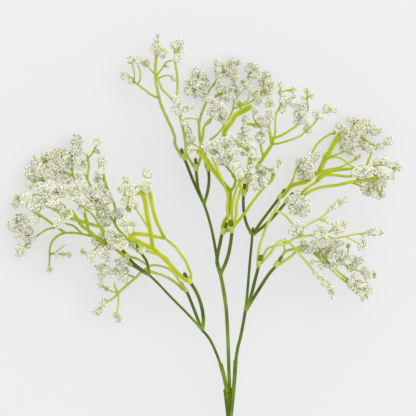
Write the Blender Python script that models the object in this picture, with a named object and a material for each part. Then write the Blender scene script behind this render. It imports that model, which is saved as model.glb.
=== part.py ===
"""Gypsophila stem: a moulded stem with three branches, fifteen push-on sprays and their bud heads.

It lies on a surface on its lowest buds and on the cut end of the stem. Metres, Z up.
"""
import math

import bmesh
import bpy
import numpy as np
from mathutils import Quaternion, Vector

for thing in list(bpy.data.objects):
    bpy.data.objects.remove(thing)

MM = 0.001
MERGE = 0.00001
GAP = 0.32
STEM_CUT = -230.0
STEM_LOW = -38.4
COLLAR_TOP = 4.2
COLLAR_LENGTH = 5.0
COLLAR_WALL = 0.9
STALK = 0.7
LINK = 1.1
OVERLAP = 0.64
LARGE_BUD = 3.7
OWN_NODE = 5
SPRAY_SHARE = 0.545
HEAD_SHARE = 0.585
DEPTHS = (0.1, 0.75, -0.7, 0.45, -0.4, 0.9, -0.9)
ORIGIN = (-17.9, 18.7, -40.9)
SHADES = {
    "pale": (0.36, 0.52, 0.1),
    "yellow": (0.46, 0.55, 0.02),
    "olive": (0.34, 0.46, 0.03),
    "grass": (0.22, 0.36, 0.03),
    "dull": (0.36, 0.46, 0.1),
}
LOOKS = {
    "stem_green": ((0.07, 0.16, 0.02), 0.35),
    "spray_green": ((0.36, 0.5, 0.06), 0.4),
    "flock_white": ((0.78, 0.8, 0.74), 0.95),
}

# Layout of the stem, in millimetres: X to the right, Y up the stem, Z towards the side that is seen.
# BRANCHES: for every branch its tubes, each (start radius, end radius, [(x, y, z), ...]).
BRANCHES = {
    "branch_left": [
        (1.35, 1.45, [(-0.9, 11.5, 0.5), (-1.6, 18.5, 1.2), (-3.3, 27, 1.4), (-6, 37, 1)]),
        (0.95, 0.95, [(-5.2, 34, 1), (-8.5, 43, 0.6), (-12, 51, 0.3), (-15.5, 56.5, 0), (-19.5, 60.8, 0)]),
        (0.85, 0.85, [(-19, 60.2, 0), (-23, 65, -0.5), (-30, 72.5, -1), (-40, 82.5, -2), (-50, 93, -3),
                      (-56, 98.8, -3)]),
        (1.15, 1.0, [(-19, 60, 0), (-22, 68, -3), (-25.5, 77, -7), (-29, 85.5, -11), (-31.5, 89.5, -13),
                     (-34, 93.5, -14.5)]),
        (1.3, 1.15, [(-19, 60, 0), (-17.9, 66, 3), (-18.3, 72, 5.5), (-19.5, 78, 8), (-21.5, 84, 10),
                     (-24.5, 90, 11.5), (-28, 95, 12), (-31.5, 100.5, 12)]),
        (1.0, 0.9, [(-55.6, 98.4, -3), (-57.5, 107.5, -4), (-60.5, 112.5, -4), (-64, 118, -4),
                    (-65.5, 121, -4)]),
        (1.0, 0.9, [(-55.6, 98.4, -3), (-61, 102.5, 3), (-66, 106.5, 7), (-71, 112, 10),
                    (-75, 117.5, 11)]),
        (1.0, 0.9, [(-55.6, 98.4, -3), (-60, 100.5, -10), (-65, 103.5, -16), (-71, 107, -19),
                    (-75, 109.5, -20)]),
    ],
    "branch_middle": [
        (1.2, 1.26, [(0.8, 13, -1.7), (0.5, 19.5, -1.4), (0, 30, -1.4), (-0.6, 50, -1), (-1.7, 72, -0.5),
                    (-3, 83, 0), (-4.5, 92, 0), (-6.3, 101, 0)]),
        (1.0, 0.95, [(-6, 99.5, 0), (-8, 108, -1), (-9.5, 117, -1.5), (-12, 130, -2), (-15, 141, -2.5),
                     (-17.8, 149.3, -3)]),
        (1.3, 1.15, [(-6, 99.5, 0), (-8.3, 107, 4), (-8, 113, 7), (-6.5, 120, 10.5), (-5, 127, 13),
                     (-3, 131, 14), (-1, 135.5, 15)]),
        (1.3, 1.15, [(-6, 99.5, 0), (-2.5, 107, 7), (-0.3, 114, 12), (1, 121, 17), (1.8, 128, 22),
                     (1.3, 133, 25), (0.6, 137, 26.5)]),
        (1.15, 1.0, [(-17.6, 148.6, -3), (-22, 158, -4), (-26, 167, -5), (-29.5, 176, -6),
                     (-32, 182, -6.5),
                     (-33.5, 187.5, -7)]),
        (1.15, 1.0, [(-17.6, 148.6, -3), (-21.3, 158, 1), (-22.3, 165, 4), (-23, 172, 6),
                     (-23.4, 180.5, 8)]),
        (1.15, 1.0, [(-17.6, 148.6, -3), (-15.5, 155, -10), (-14.2, 162, -16), (-14, 168, -20),
                     (-14.7, 174, -22), (-15, 180, -23)]),
    ],
    "branch_right": [
        (1.1, 1.5, [(1.2, -7, -1.2), (1.7, 1, 0.2), (2.5, 10, 1), (3.3, 19.5, 1.2), (4, 28, 1),
                    (4.6, 39.5, 0.6)]),
        (1.1, 1.1, [(4.5, 37, 0.7), (6, 47, 0.4), (8, 55, 0.2), (9.8, 64, 0), (11.7, 75, 0)]),
        (0.95, 0.9, [(11.5, 73.5, 0), (13, 88, -0.5), (14, 100, -1), (15, 112, -1.5), (15.8, 120, -2),
                     (16.4, 128, -2), (16.9, 132, -2)]),
        (1.2, 1.1, [(11.5, 73.5, 0), (15.5, 85, 5), (18, 95, 10), (20, 103, 14), (20.9, 108.5, 16.5),
                    (22.3, 113, 18)]),
        (1.25, 1.1, [(11.5, 73.5, 0), (18, 84, 1), (23, 92, 2), (28, 99.5, 3), (33, 105.5, 4),
                     (37, 112, 5)]),
        (1.1, 0.95, [(16.3, 126.5, -2), (12.5, 134, 0), (10.5, 142, 2), (10, 150, 3), (10.3, 158, 4),
                     (10.9, 163, 4.5)]),
        (1.1, 0.95, [(16.3, 126.5, -2), (22, 135, -6), (28, 143, -10), (33, 149.5, -13), (37, 155, -15),
                     (39.5, 159, -16)]),
        (1.1, 0.95, [(16.3, 126.5, -2), (25, 133.5, 2), (32, 140.5, 5), (38, 147.5, 7), (41.5, 152, 8),
                     (44.5, 156.5, 9)]),
    ],
}
# SPRAYS: the branch and the number of its tube that the collar is pushed on, how far the sheet that the
# spray lies on rises and over what distance, the shade of its plastic, its arms (start radius, end radius,
# [(x, y), ...]), its heads and its single buds (x, y, radius[, tint]).
# Tints: b beige centre, y yellow centre, g green bud, o orange-brown centre.
SPRAYS = {
    "spray_left_low": dict(
        on=("branch_left", 3), rise=-11, reach=60, shade="pale",
        arms=[
            (1.0, 0.9, [(-33, 92), (-37, 93.5), (-44, 97), (-54, 100.5), (-60, 101.7), (-66, 96),
                        (-72, 91),
                        (-78, 85.5)]),
            (0.9, 0.8, [(-33.5, 93), (-38, 99), (-43, 103), (-49, 105), (-55, 105), (-60, 101.7)]),
            (0.9, 0.7, [(-56, 104.5), (-64, 109.5), (-71, 112)]),
            (0.8, 0.55, [(-78, 85.5), (-80, 89), (-81, 93)]),
            (0.8, 0.6, [(-78, 85.5), (-82, 81.5), (-86, 79), (-92.5, 72)]),
            (0.7, 0.6, [(-78, 85.5), (-78, 79), (-78.5, 74), (-80, 70)]),
            (0.6, 0.5, [(-78, 85.5), (-82, 86.5), (-86, 88), (-91, 91)]),
            (0.8, 0.6, [(-66, 96), (-70, 98), (-75, 98), (-82, 100), (-90, 101)]),
        ],
        heads={
            "head_left_low_a": [(-90, 103, 4.5), (-86, 101, 4), (-90, 98, 3)],
            "head_left_low_b": [(-80, 101, 2.8), (-75, 97, 4.5), (-73, 101.5, 3)],
            "head_left_low_c": [(-76, 107, 4), (-72.5, 110.5, 3.6)],
        },
        singles=[(-92.5, 72, 3.5, "o"), (-88, 79, 3.4), (-80, 70, 3), (-77.5, 66.8, 2.6), (-90.5, 91, 2.6),
                 (-86.5, 88.5, 1.8, "g")],
    ),
    "spray_left_front": dict(
        on=("branch_left", 4), rise=23, reach=62, shade="yellow",
        arms=[
            (0.95, 0.9, [(-27.5, 96.5), (-27.2, 99.5), (-28, 103), (-30, 108), (-34, 114), (-38, 119),
                         (-44.5, 124.5)]),
            (1.05, 1.55, [(-44.5, 124.5), (-50, 125.5), (-57, 127), (-67, 128)]),
            (1.0, 1.55, [(-44.5, 124.5), (-47, 129), (-50, 136), (-52, 142), (-54, 151.5), (-55.5, 158)]),
            (1.35, 1.85, [(-30, 96.5), (-36, 101), (-42, 107), (-48, 113), (-53, 117.5), (-60, 120.5),
                         (-66, 124), (-69, 127)]),
            (1.0, 0.9, [(-30.5, 96.5), (-38, 104.5), (-45, 111.8), (-52, 114), (-58, 116)]),
            (1.4, 1.7, [(-53, 117.5), (-54, 126), (-55.5, 134), (-57, 142), (-58, 150), (-60, 156)]),
            (0.75, 0.55, [(-55.5, 132), (-58, 135), (-61, 140), (-64, 144.5), (-66, 149)]),
            (0.8, 0.6, [(-60, 156), (-64, 155), (-70, 156), (-72, 152)]),
        ],
        heads={
            "head_left_front_a": [(-73, 159, 4), (-68, 158, 4.5), (-62, 158, 3), (-71, 165, 2.6)],
            "head_left_front_b": [(-57, 157, 2.6), (-57, 163, 2.8), (-56.5, 169.5, 3.6)],
            "head_left_front_c": [(-72, 150, 3.2), (-67, 149, 3.2), (-69.5, 145, 2.4, "g")],
            "head_left_front_d": [(-72, 136, 4), (-70, 131, 3), (-66, 134, 2.4)],
        },
        singles=[(-60, 117, 3), (-67, 119.5, 2.4, "g"), (-75, 121, 4.5), (-64, 147.5, 1.8)],
    ),
    "spray_left_mid": dict(
        on=("branch_left", 5), rise=19, reach=55, shade="grass",
        arms=[
            (1.0, 0.9, [(-65, 120), (-70, 124), (-74, 127), (-77, 130), (-80, 135), (-83, 140), (-87, 147),
                        (-92, 156)]),
            (0.9, 0.8, [(-80, 135), (-79, 142), (-80, 148), (-82, 153), (-86, 163), (-88, 172)]),
            (0.8, 0.7, [(-83, 140), (-88, 142), (-95, 146)]),
            (0.8, 0.7, [(-92, 156), (-97.5, 163), (-98.5, 168), (-97.5, 175), (-98, 180), (-95, 184),
                        (-92, 190)]),
        ],
        heads={
            "head_left_mid_a": [(-99, 156, 4.5), (-93, 157, 4.6), (-87, 158, 4.2), (-97, 148, 4.2),
                                (-91, 150, 4.6), (-85, 152, 4.4)],
            "head_left_mid_b": [(-88, 142, 5), (-86, 136, 4)],
            "head_left_mid_c": [(-88.5, 178, 3.5), (-90, 171, 3.6), (-92, 165.5, 3)],
        },
        singles=[(-77, 142, 4), (-91.5, 191.5, 3), (-101, 184, 2.2), (-91.5, 185, 2, "g"),
                 (-104, 169, 3.6)],
    ),
    "spray_left_high": dict(
        on=("branch_left", 6), rise=16, reach=60, shade="grass",
        arms=[
            (1.5, 1.1, [(-74, 116.5), (-80, 118.5), (-87, 121.5), (-92, 125), (-98, 130), (-103, 134),
                        (-106, 139), (-110, 144.5)]),
            (1.1, 1.2, [(-87, 121.5), (-88, 131), (-95, 134), (-103, 136.5), (-111, 139), (-118, 144)]),
            (0.8, 0.7, [(-87.5, 127), (-91, 135), (-95, 141), (-100, 145), (-106, 150), (-112, 156)]),
            (0.7, 0.6, [(-98, 130), (-98.5, 136), (-100, 143)]),
            (0.8, 0.7, [(-110, 144.5), (-117, 148), (-124, 151), (-128, 157)]),
            (0.8, 0.6, [(-87, 121.5), (-92, 118), (-97, 114), (-101, 115)]),
        ],
        heads={
            "head_left_high_a": [(-112, 157, 5.6, "b"), (-107, 154, 4), (-118, 158, 4.4), (-124, 160, 4.2),
                                 (-130, 160, 4), (-102.5, 151.5, 4), (-102, 145.5, 3.6)],
            "head_left_high_b": [(-128, 150, 5), (-122, 150, 4.4), (-118, 146, 4), (-135, 147, 4),
                                 (-140, 152, 5)],
            "head_left_high_c": [(-113, 142, 4.5), (-118, 136, 4.2)],
            "head_left_high_d": [(-88, 116, 4.5), (-86, 111.5, 3.8), (-94, 122, 2.6)],
            "head_left_high_e": [(-81, 120, 4.2), (-82.5, 126, 4.4), (-87.5, 124.5, 4.2), (-76.5, 123.5, 4)],
        },
        singles=[(-101.5, 115, 3, "o"), (-96, 111.5, 3.5), (-135, 137, 3.5), (-103, 163, 3)],
    ),
    "spray_left_back": dict(
        on=("branch_left", 7), rise=-13, reach=62, shade="grass",
        arms=[
            (1.0, 0.8, [(-74, 109), (-75.5, 113), (-80, 116.5), (-87, 120.5), (-95, 125), (-108, 127.8),
                         (-116, 128)]),
            (0.85, 0.6, [(-116, 128), (-121, 126), (-125, 122), (-126.8, 117), (-127, 111),
                         (-127.3, 103)]),
            (0.6, 0.45, [(-127.1, 113.5), (-122, 113.2), (-113.3, 112.4)]),
            (0.55, 0.3, [(-127, 112), (-121, 115.5), (-115.5, 120)]),
            (0.9, 0.8, [(-116, 128), (-121, 131.5), (-126, 135), (-133, 140), (-140, 144), (-148, 151)]),
            (0.75, 0.6, [(-122, 132), (-128.5, 130.5), (-134, 127.2), (-138.5, 123.5), (-146, 118)]),
            (0.75, 0.6, [(-104, 127.5), (-110, 133), (-116, 135), (-120, 141), (-126, 154), (-132, 166)]),
            (0.9, 0.7, [(-98, 126.3), (-102, 140), (-106, 155), (-110, 168), (-112, 178), (-109, 190)]),
            (0.8, 0.7, [(-110, 168), (-118, 172), (-127, 178), (-136, 177)]),
            (0.8, 0.6, [(-133, 140), (-142, 136), (-151, 131)]),
        ],
        heads={
            "head_left_back_a": [(-141, 172, 4.2), (-137, 178, 4.4), (-132, 181, 4), (-134, 173, 4.6)],
            "head_left_back_b": [(-128, 182.5, 3.6), (-124, 184.5, 3.6), (-119.5, 185, 3.8, "y"),
                                 (-124, 175, 4.4), (-120, 168, 4.2), (-128, 170, 4.2), (-134, 167, 3.8),
                                 (-115, 166, 4),
                                 (-118.8, 176.3, 3.8)],
            "head_left_back_c": [(-108, 193, 4.5), (-110, 187, 3.8), (-106, 186, 3.4), (-115, 181.5, 4),
                                 (-112, 177, 3.8), (-107, 180, 3.6), (-102.5, 177.5, 3.4)],
            "head_left_back_d": [(-154, 133, 3.4), (-150, 128, 3.6), (-148, 137, 5), (-145, 133, 4),
                                 (-142, 129.5, 3.8)],
            "head_left_back_e": [(-143, 123.5, 2.8), (-139, 124, 3), (-142, 119, 2.6), (-147.5, 115, 4.4)],
            "head_left_back_f": [(-149, 152, 3.6), (-151.5, 148, 3.4)],
        },
        singles=[(-127.3, 102, 2.6, "o"), (-122, 113, 1.9), (-117.6, 113, 1.9), (-113.3, 112.4, 2, "o"),
                 (-141.5, 163, 4)],
    ),
}
SPRAYS.update({
    "spray_mid_left": dict(
        on=("branch_middle", 2), rise=8, reach=50, shade="yellow",
        arms=[
            (1.3, 1.4, [(-3.6, 132), (-3, 135.5), (-0.5, 141), (0.5, 148), (0.8, 157)]),
            (1.45, 1.85, [(0.8, 157), (-5, 164), (-11, 172), (-17, 180.5), (-22, 186)]),
            (1.0, 0.8, [(0.8, 157), (4, 162), (3.5, 168), (-2, 174.5), (-5, 182)]),
            (1.4, 1.9, [(3.6, 166.5), (1, 176), (-2, 188), (-3.5, 197.5), (-1, 202), (2, 206), (4.5, 210),
                        (10, 213), (15.5, 216.5)]),
            (0.7, 0.5, [(7, 211.5), (9, 217.5), (13, 220.5), (15, 227)]),
            (1.1, 0.85, [(-2.6, 133), (2, 133), (6, 136), (10, 141), (15, 148), (21, 156), (25, 160.5),
                         (28.5, 163.5), (31, 168), (33, 173)]),
        ],
        heads={
            "head_mid_left_a": [(-15, 188, 4.4), (-10.5, 184.5, 2.6, "g"), (-19, 184, 3.2)],
            "head_mid_left_b": [(-3.5, 190, 5), (-3, 184, 4), (-6, 178, 4), (-1, 178, 3.5), (-9, 189, 3)],
            "head_mid_left_c": [(20, 160, 3.5), (24, 164, 3.5), (21, 168, 3.5), (26, 168, 3.2),
                                (22, 174, 2.8), (31.5, 172, 2.4), (28, 171, 2.6)],
        },
        singles=[(-27, 186, 3.2), (35, 177.5, 2.6, "b"), (6.5, 218.5, 2.2, "g")],
    ),
    "spray_mid_front": dict(
        on=("branch_middle", 3), rise=10, reach=60, shade="yellow",
        arms=[
            (0.9, 0.7, [(0.6, 134.5), (-0.5, 139), (-1.5, 146), (-1, 154), (-4, 163), (-9, 174),
                        (-12, 181)]),
            (1.0, 0.9, [(2, 134.5), (4, 140), (5, 148), (7.3, 156), (8, 160), (5, 168), (1, 174)]),
            (0.9, 0.8, [(1.3, 135), (1.5, 145), (3.5, 154), (6, 161), (9, 166), (13, 172), (15, 180)]),
        ],
        heads={
            "head_mid_front_a": [(4, 175, 4.2), (7, 169.5, 4), (9.5, 165.5, 3.2)],
            "head_mid_front_b": [(3, 186, 4.2), (2, 193, 4.2), (6.5, 190, 3)],
            "head_mid_front_c": [(14, 190, 3.4), (16, 184, 3.3), (16, 178, 3.4), (15.5, 172.5, 3.4),
                                 (16.3, 167, 3.2), (17, 162, 3.2)],
        },
        singles=[(12.3, 187, 1.8, "g"), (9.2, 183, 1.8, "g"), (19.5, 179.5, 2.2)],
    ),
    "spray_top_left": dict(
        on=("branch_middle", 4), rise=-16, reach=75, shade="dull",
        arms=[
            (1.1, 1.0, [(-34.3, 186), (-37, 190), (-38, 195), (-40, 201), (-43, 207.5), (-46, 214),
                        (-48, 219),
                        (-49.5, 225), (-51, 232), (-52, 240), (-51.5, 250), (-51.5, 257)]),
            (0.8, 0.6, [(-49.2, 223), (-55, 225.5), (-60, 229.5), (-66, 234), (-68.5, 237.5), (-73, 239)]),
            (0.6, 0.5, [(-64.5, 232.8), (-62.7, 236), (-62.5, 241), (-64.5, 248)]),
            (0.7, 0.55, [(-52, 238), (-48, 243), (-44, 248.5), (-39, 250)]),
            (0.7, 0.55, [(-51.8, 236), (-45, 239), (-40, 238.5)]),
            (0.6, 0.5, [(-52, 240), (-55, 243), (-58.5, 247)]),
            (0.55, 0.5, [(-67, 235.2), (-66.6, 240), (-68.5, 248.5)]),
            (0.8, 0.6, [(-35.5, 187.5), (-31, 190), (-27, 192)]),
        ],
        heads={
            "head_top_left_a": [(-51.5, 257.5, 4.2, "b"), (-47, 253.5, 2.8), (-45, 256, 2.2)],
            "head_top_left_b": [(-69, 250.5, 3.2), (-64.5, 249.5, 3.2)],
        },
        singles=[(-73, 239, 3.5), (-69, 234.5, 1.9), (-58.5, 248, 3.2, "o"), (-43, 245, 1.4),
                 (-39, 236.5, 1.9), (-50.8, 263.6, 2), (-50, 267.5, 1.5), (-27, 193, 2.6)],
    ),
    "spray_top_mid": dict(
        on=("branch_middle", 5), rise=10, reach=70, shade="dull",
        arms=[
            (1.0, 0.9, [(-24.5, 177), (-28, 181), (-30, 186), (-30.5, 192), (-32, 200), (-34.5, 210),
                        (-36.5, 218), (-36, 226), (-36, 237), (-37.5, 246), (-38, 254)]),
            (0.9, 0.8, [(-36.5, 218), (-42, 223.5), (-47, 229), (-50, 237)]),
            (1.1, 0.9, [(-22.5, 177.5), (-20.5, 181), (-20.5, 186), (-18.5, 195), (-17, 203), (-11, 209),
                        (-6, 213)]),
            (0.6, 0.5, [(-30, 189), (-25, 190), (-21.5, 188)]),
            (0.6, 0.5, [(-33.3, 206), (-29, 208), (-21, 207.5)]),
            (0.7, 0.6, [(-17, 203), (-13, 206), (-12, 213), (-10, 218)]),
        ],
        heads={
            "head_top_mid_a": [(-36.5, 214, 3.8), (-36.5, 220, 3.6)],
            "head_top_mid_b": [(-38, 259, 3.2), (-34.3, 261, 3.1), (-34, 255.5, 3), (-36, 250, 3.2)],
            "head_top_mid_c": [(-30.5, 214.5, 2.4), (-26.5, 216.5, 2.8)],
            "head_top_mid_d": [(-31, 205, 2.6), (-28.5, 201, 2.8), (-28, 197, 2.6), (-25.5, 194, 2.4)],
            "head_top_mid_e": [(-10, 217, 3.6, "b"), (-12.5, 221, 2.8), (-6, 216, 3.2), (-3, 212, 3.2),
                               (-13, 212.5, 3.2), (-9.5, 210.5, 3), (-6, 208.5, 3), (-3.5, 205.5, 2.4)],
        },
        singles=[(-21, 206, 1.6, "g")],
    ),
    "spray_top_back": dict(
        on=("branch_middle", 6), rise=-12, reach=60, shade="grass",
        arms=[
            (1.0, 0.9, [(-15, 179.5), (-17, 186), (-20, 192), (-21, 203), (-20, 210), (-17.5, 217),
                        (-16, 220)]),
            (0.7, 0.6, [(-16, 220), (-18, 226), (-21, 233), (-22, 239)]),
            (0.65, 0.55, [(-16, 220), (-14.5, 228), (-9, 236), (-8.3, 246)]),
            (0.65, 0.55, [(-16, 220), (-10, 224), (-5, 227), (0, 227)]),
            (0.7, 0.6, [(-19, 190), (-9, 197), (-2, 206), (3, 216), (4, 228), (4, 238)]),
            (0.65, 0.55, [(3.5, 222), (8, 228), (12, 232), (14, 240), (16.5, 246)]),
            (0.65, 0.55, [(3, 216), (12, 219), (20, 224), (26, 231), (27, 238)]),
            (0.5, 0.45, [(-9, 234), (-4, 243), (2, 249)]),
        ],
        heads={
            "head_top_back_a": [(-23.5, 242, 3.2), (-18, 240, 3.1), (-27, 235, 4), (-22, 234, 5),
                                (-17, 234, 3.6), (-29, 228.5, 3.5), (-24, 227, 3.2), (-19, 227, 4),
                                (-16, 222.5, 3)],
            "head_top_back_b": [(-8, 248.5, 2.6), (-8.5, 243.5, 2.8), (-7, 238.5, 2.8), (-6.5, 233.5, 2.8),
                                (-8, 229.5, 2.6)],
            "head_top_back_c": [(-3, 246.5, 3, "y"), (2, 250, 2.6), (6.5, 249, 2.4), (3, 245.5, 2.4)],
            "head_top_back_d": [(3.5, 238.5, 3.6, "b"), (5.5, 243, 2.4)],
            "head_top_back_e": [(-2, 228.5, 3.6), (0.5, 224.5, 3.6), (3.5, 230, 3.6), (-4, 223, 3.2),
                                (5, 226, 3), (8.5, 229, 2.6)],
            "head_top_back_f": [(14, 244.5, 3), (17, 247, 2.9), (20, 244, 2.3), (17.5, 239.5, 2.6)],
            "head_top_back_g": [(13, 233.5, 3.2), (16, 230, 3.2), (20, 226, 3.6), (21, 221.5, 3, "b")],
            "head_top_back_h": [(27, 240, 3.2), (28, 236, 3), (27, 231.5, 3.6), (30.5, 233, 2.6),
                                (23.5, 234.5, 2.6), (22, 238, 2.6), (28, 227, 3)],
        },
        singles=[(10, 235, 1.6, "g"), (16, 241, 1.6, "g"), (-1.5, 241, 2.6)],
    ),
    "spray_right_mid": dict(
        on=("branch_right", 5), rise=9, reach=70, shade="olive",
        arms=[
            (1.3, 1.3, [(11.5, 161), (14, 166), (18, 172), (22, 178), (26, 184), (30, 190)]),
            (1.1, 0.9, [(30, 190), (28.5, 197), (27.5, 204), (28, 212), (28.5, 221)]),
            (0.75, 0.6, [(29.3, 193.5), (32, 197), (32.5, 210), (36, 218), (35.5, 226), (36, 231)]),
            (0.9, 0.8, [(30, 190), (31.5, 194), (36, 196), (42, 199.5), (47, 203), (50, 208)]),
            (0.75, 0.65, [(30, 190), (36, 191), (44, 193.5), (50, 196), (54, 200)]),
            (0.6, 0.5, [(35.6, 226), (40, 227.5), (45, 228.5)]),
            (0.6, 0.5, [(50, 208), (54.8, 214), (54.5, 220), (54, 227)]),
            (0.65, 0.55, [(54, 200), (58, 203), (61, 207), (65, 211), (69, 214)]),
            (0.8, 0.7, [(24, 181), (22, 190), (23, 198), (20, 203), (12, 205)]),
        ],
        heads={
            "head_right_mid_a": [(12, 207, 3.2), (11, 201, 3.2), (9.5, 195.5, 3.2)],
            "head_right_mid_b": [(22, 207, 3.2), (26, 206, 3), (19, 203, 2.4), (25, 200, 3), (22, 195, 4)],
            "head_right_mid_c": [(28, 207.5, 3), (28, 212.5, 3), (28, 217.5, 3.1), (28.5, 222.5, 3)],
            "head_right_mid_d": [(38, 220.5, 3.6), (42.3, 219, 3), (37, 215, 3.2)],
            "head_right_mid_e": [(47, 216, 2.8), (51, 216.5, 3), (47, 211, 3), (51.5, 211.5, 2.8),
                                 (48, 206, 3.5), (52.5, 206, 3)],
            "head_right_mid_f": [(60, 211, 2.6), (64, 210, 2.8), (68, 214.5, 3.2), (73, 213.5, 2.3)],
        },
        singles=[(36, 231, 2.1), (46, 229, 2.1), (54, 227.5, 2.2, "y"), (57.5, 223.5, 2), (51.5, 222, 1.6),
                 (45, 223.3, 2), (55, 200.5, 3.2), (18, 213.5, 2.6), (35.5, 226, 1.7, "g")],
    ),
    "spray_right_back": dict(
        on=("branch_right", 6), rise=-19, reach=80, shade="olive",
        arms=[
            (1.4, 1.8, [(38, 157), (42, 160), (46, 162), (55, 164.5), (59, 168.5), (64, 171)]),
            (1.7, 1.9, [(64, 171), (67, 178), (71, 185), (75.5, 193), (80, 199)]),
            (0.8, 0.7, [(39.5, 158.5), (44, 165), (47, 172), (49.5, 176), (54, 178)]),
            (0.8, 0.7, [(55, 164.5), (57, 174), (58.5, 183.5), (62, 190), (67, 195), (73, 198.5)]),
            (0.8, 0.7, [(75.5, 193), (83, 195), (91, 199), (99, 201), (106, 200)]),
            (0.8, 0.6, [(83, 195), (88, 203), (92, 207)]),
            (0.7, 0.6, [(91, 199), (97, 194), (104, 190), (112, 192.5)]),
            (0.7, 0.6, [(69, 181), (78, 184), (86, 187), (94, 190)]),
            (0.7, 0.6, [(64, 171), (71, 173), (79, 174.5), (85, 177.5), (90, 180)]),
        ],
        heads={
            "head_right_back_a": [(50, 178, 3), (55, 177, 5), (52, 172, 4.4), (58.5, 180, 4),
                                  (61.5, 183, 3),
                                  (56.5, 169.5, 3.6), (51, 167.5, 3)],
            "head_right_back_b": [(78, 204, 2.6), (82, 199, 4), (81, 193.5, 4), (85.5, 191, 3.2)],
            "head_right_back_c": [(86.5, 208.5, 2.8), (92, 206.5, 2.8), (97, 206.5, 3.5),
                                  (92, 201, 4, "y"),
                                  (96, 200, 3.2), (90, 196, 3), (95, 194, 3.5), (100.5, 202, 3)],
            "head_right_back_d": [(103.5, 199.5, 3), (107.5, 200, 2.2)],
            "head_right_back_e": [(113.5, 193, 3.2), (108, 189, 2.6), (104, 189, 3), (100, 187.5, 2.8)],
            "head_right_back_f": [(84, 186, 2.6, "o"), (88, 184.5, 2.6, "o"), (91.5, 182, 2.6, "o"),
                                  (88, 190, 3)],
        },
        singles=[(74.7, 199, 1.5, "g"), (95.5, 188, 1.6, "g"), (80, 188.5, 1.5, "g")],
    ),
    "spray_right_front": dict(
        on=("branch_right", 7), rise=10, reach=60, shade="olive",
        arms=[
            (1.0, 0.9, [(43, 155.5), (50, 156.5), (55, 160), (61, 164), (67, 168.3), (75, 168.3),
                        (82.5, 167.5),
                        (92, 168.5)]),
            (0.95, 1.15, [(44, 154.5), (51.5, 155), (58, 158), (66, 160.5), (75, 161.5), (84, 163.5),
                          (92, 164.5),
                        (102, 166.5)]),
            (1.4, 0.75, [(61, 164), (65, 169), (75, 172), (88, 173), (94.5, 174), (97, 179), (99, 184)]),
            (0.8, 0.7, [(63, 166), (65, 174), (66, 182), (71, 185.3)]),
            (0.7, 0.6, [(65, 178), (72, 181), (78, 180), (83, 176), (88, 173)]),
            (0.9, 0.8, [(43, 155), (44, 150), (48, 147)]),
            (0.75, 0.6, [(88, 173), (100, 175), (109, 175.5), (116, 174)]),
            (0.7, 0.6, [(84, 163.5), (91, 161), (98, 157), (104, 155)]),
        ],
        heads={
            "head_right_front_a": [(46, 151.5, 4.4), (51, 149, 5), (45.5, 145, 4.5), (52, 143.5, 4.5),
                                   (48.5, 155.5, 3)],
            "head_right_front_b": [(92, 172, 4.5), (97, 171.5, 4), (92.5, 166, 4), (88, 170, 3.2),
                                   (101.5, 171, 3.2), (105.5, 170, 3), (104, 166, 2.8), (108.5, 167, 2.3),
                                   (113, 167, 2.6)],
            "head_right_front_c": [(108, 178, 3), (111.5, 175.5, 2.8), (115.5, 174.5, 3.2),
                                   (118.5, 173.5, 2.8),
                                   (102.5, 177.5, 2.7)],
            "head_right_front_d": [(99, 162.5, 3.1), (104, 162.5, 2.8), (108, 162.5, 2.6), (94, 160, 3.1),
                                   (96, 156.5, 3), (101, 156, 3.1), (104.5, 154, 3.2), (107.5, 155.5, 2.2)],
        },
        singles=[(98.5, 187, 1.8), (103, 158.5, 1.5, "g")],
    ),
    "spray_right_pale": dict(
        on=("branch_right", 3), rise=8, reach=60, shade="pale",
        arms=[
            (0.95, 0.8, [(21, 110.5), (21, 116), (23, 125), (26, 133), (30, 141), (33, 146), (35, 151)]),
            (0.8, 0.7, [(30.8, 142.3), (37, 142), (40, 140), (42, 137), (46, 132)]),
            (0.9, 0.75, [(22.5, 112.5), (26, 117), (33, 119.5), (40, 121), (45, 124.5), (52, 126),
                         (60, 127),
                         (66, 128), (74, 131)]),
            (0.9, 0.7, [(23, 111), (28, 114.5), (33, 121), (37, 123), (41, 122), (46, 117), (52, 110),
                        (57, 104), (61, 99), (66, 94), (71, 87.5)]),
            (0.7, 0.55, [(47, 125), (52, 132), (58, 136), (63, 138.5), (67, 138), (71, 144), (77, 149)]),
            (0.65, 0.55, [(66, 128), (72, 124.5), (80, 125.8), (88, 127.5), (95, 128.3), (103, 128.5)]),
            (0.6, 0.5, [(80, 125.8), (88, 122), (92, 119)]),
        ],
        heads={
            "head_right_pale_a": [(47, 132, 4.2), (43.5, 130, 3.6), (49, 129, 3.2)],
            "head_right_pale_b": [(62, 127, 4), (66, 127.5, 3), (67, 123, 3), (63.5, 122, 3.2),
                                  (63, 132.5, 2.7)],
            "head_right_pale_c": [(74, 133.5, 3.5), (75.5, 130, 3.5, "y"), (79.5, 134, 2.8),
                                  (78.5, 130.8, 2.4)],
            "head_right_pale_d": [(70, 145, 2.3), (73.3, 147, 2.6), (77, 149.5, 2.9), (80.3, 151, 2.2)],
            "head_right_pale_e": [(66, 94, 3), (69, 91.8, 3, "b"), (71, 87.5, 3.2), (72.3, 84.5, 2.5),
                                  (62.8, 97.3, 2.2)],
        },
        singles=[(96.7, 128.5, 2), (100.3, 129, 3.4), (104.5, 128.5, 2.8, "y"), (92, 119, 3.2),
                 (93, 124, 1.6), (59.8, 101, 1.8)],
    ),
    "spray_right_low": dict(
        on=("branch_right", 4), rise=-15, reach=60, shade="pale",
        arms=[
            (1.0, 0.85, [(36, 109.5), (37, 112), (40, 115.5), (47, 117.3), (51, 118.5), (60, 117),
                         (70, 116),
                         (76, 118.5)]),
            (1.0, 0.85, [(37, 109.5), (43, 112.5), (48, 115.5), (56, 114.5), (65, 111.5), (72, 105),
                         (80, 98),
                         (84, 95.5)]),
            (0.7, 0.6, [(39, 115), (38.5, 118.5), (39, 122)]),
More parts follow.
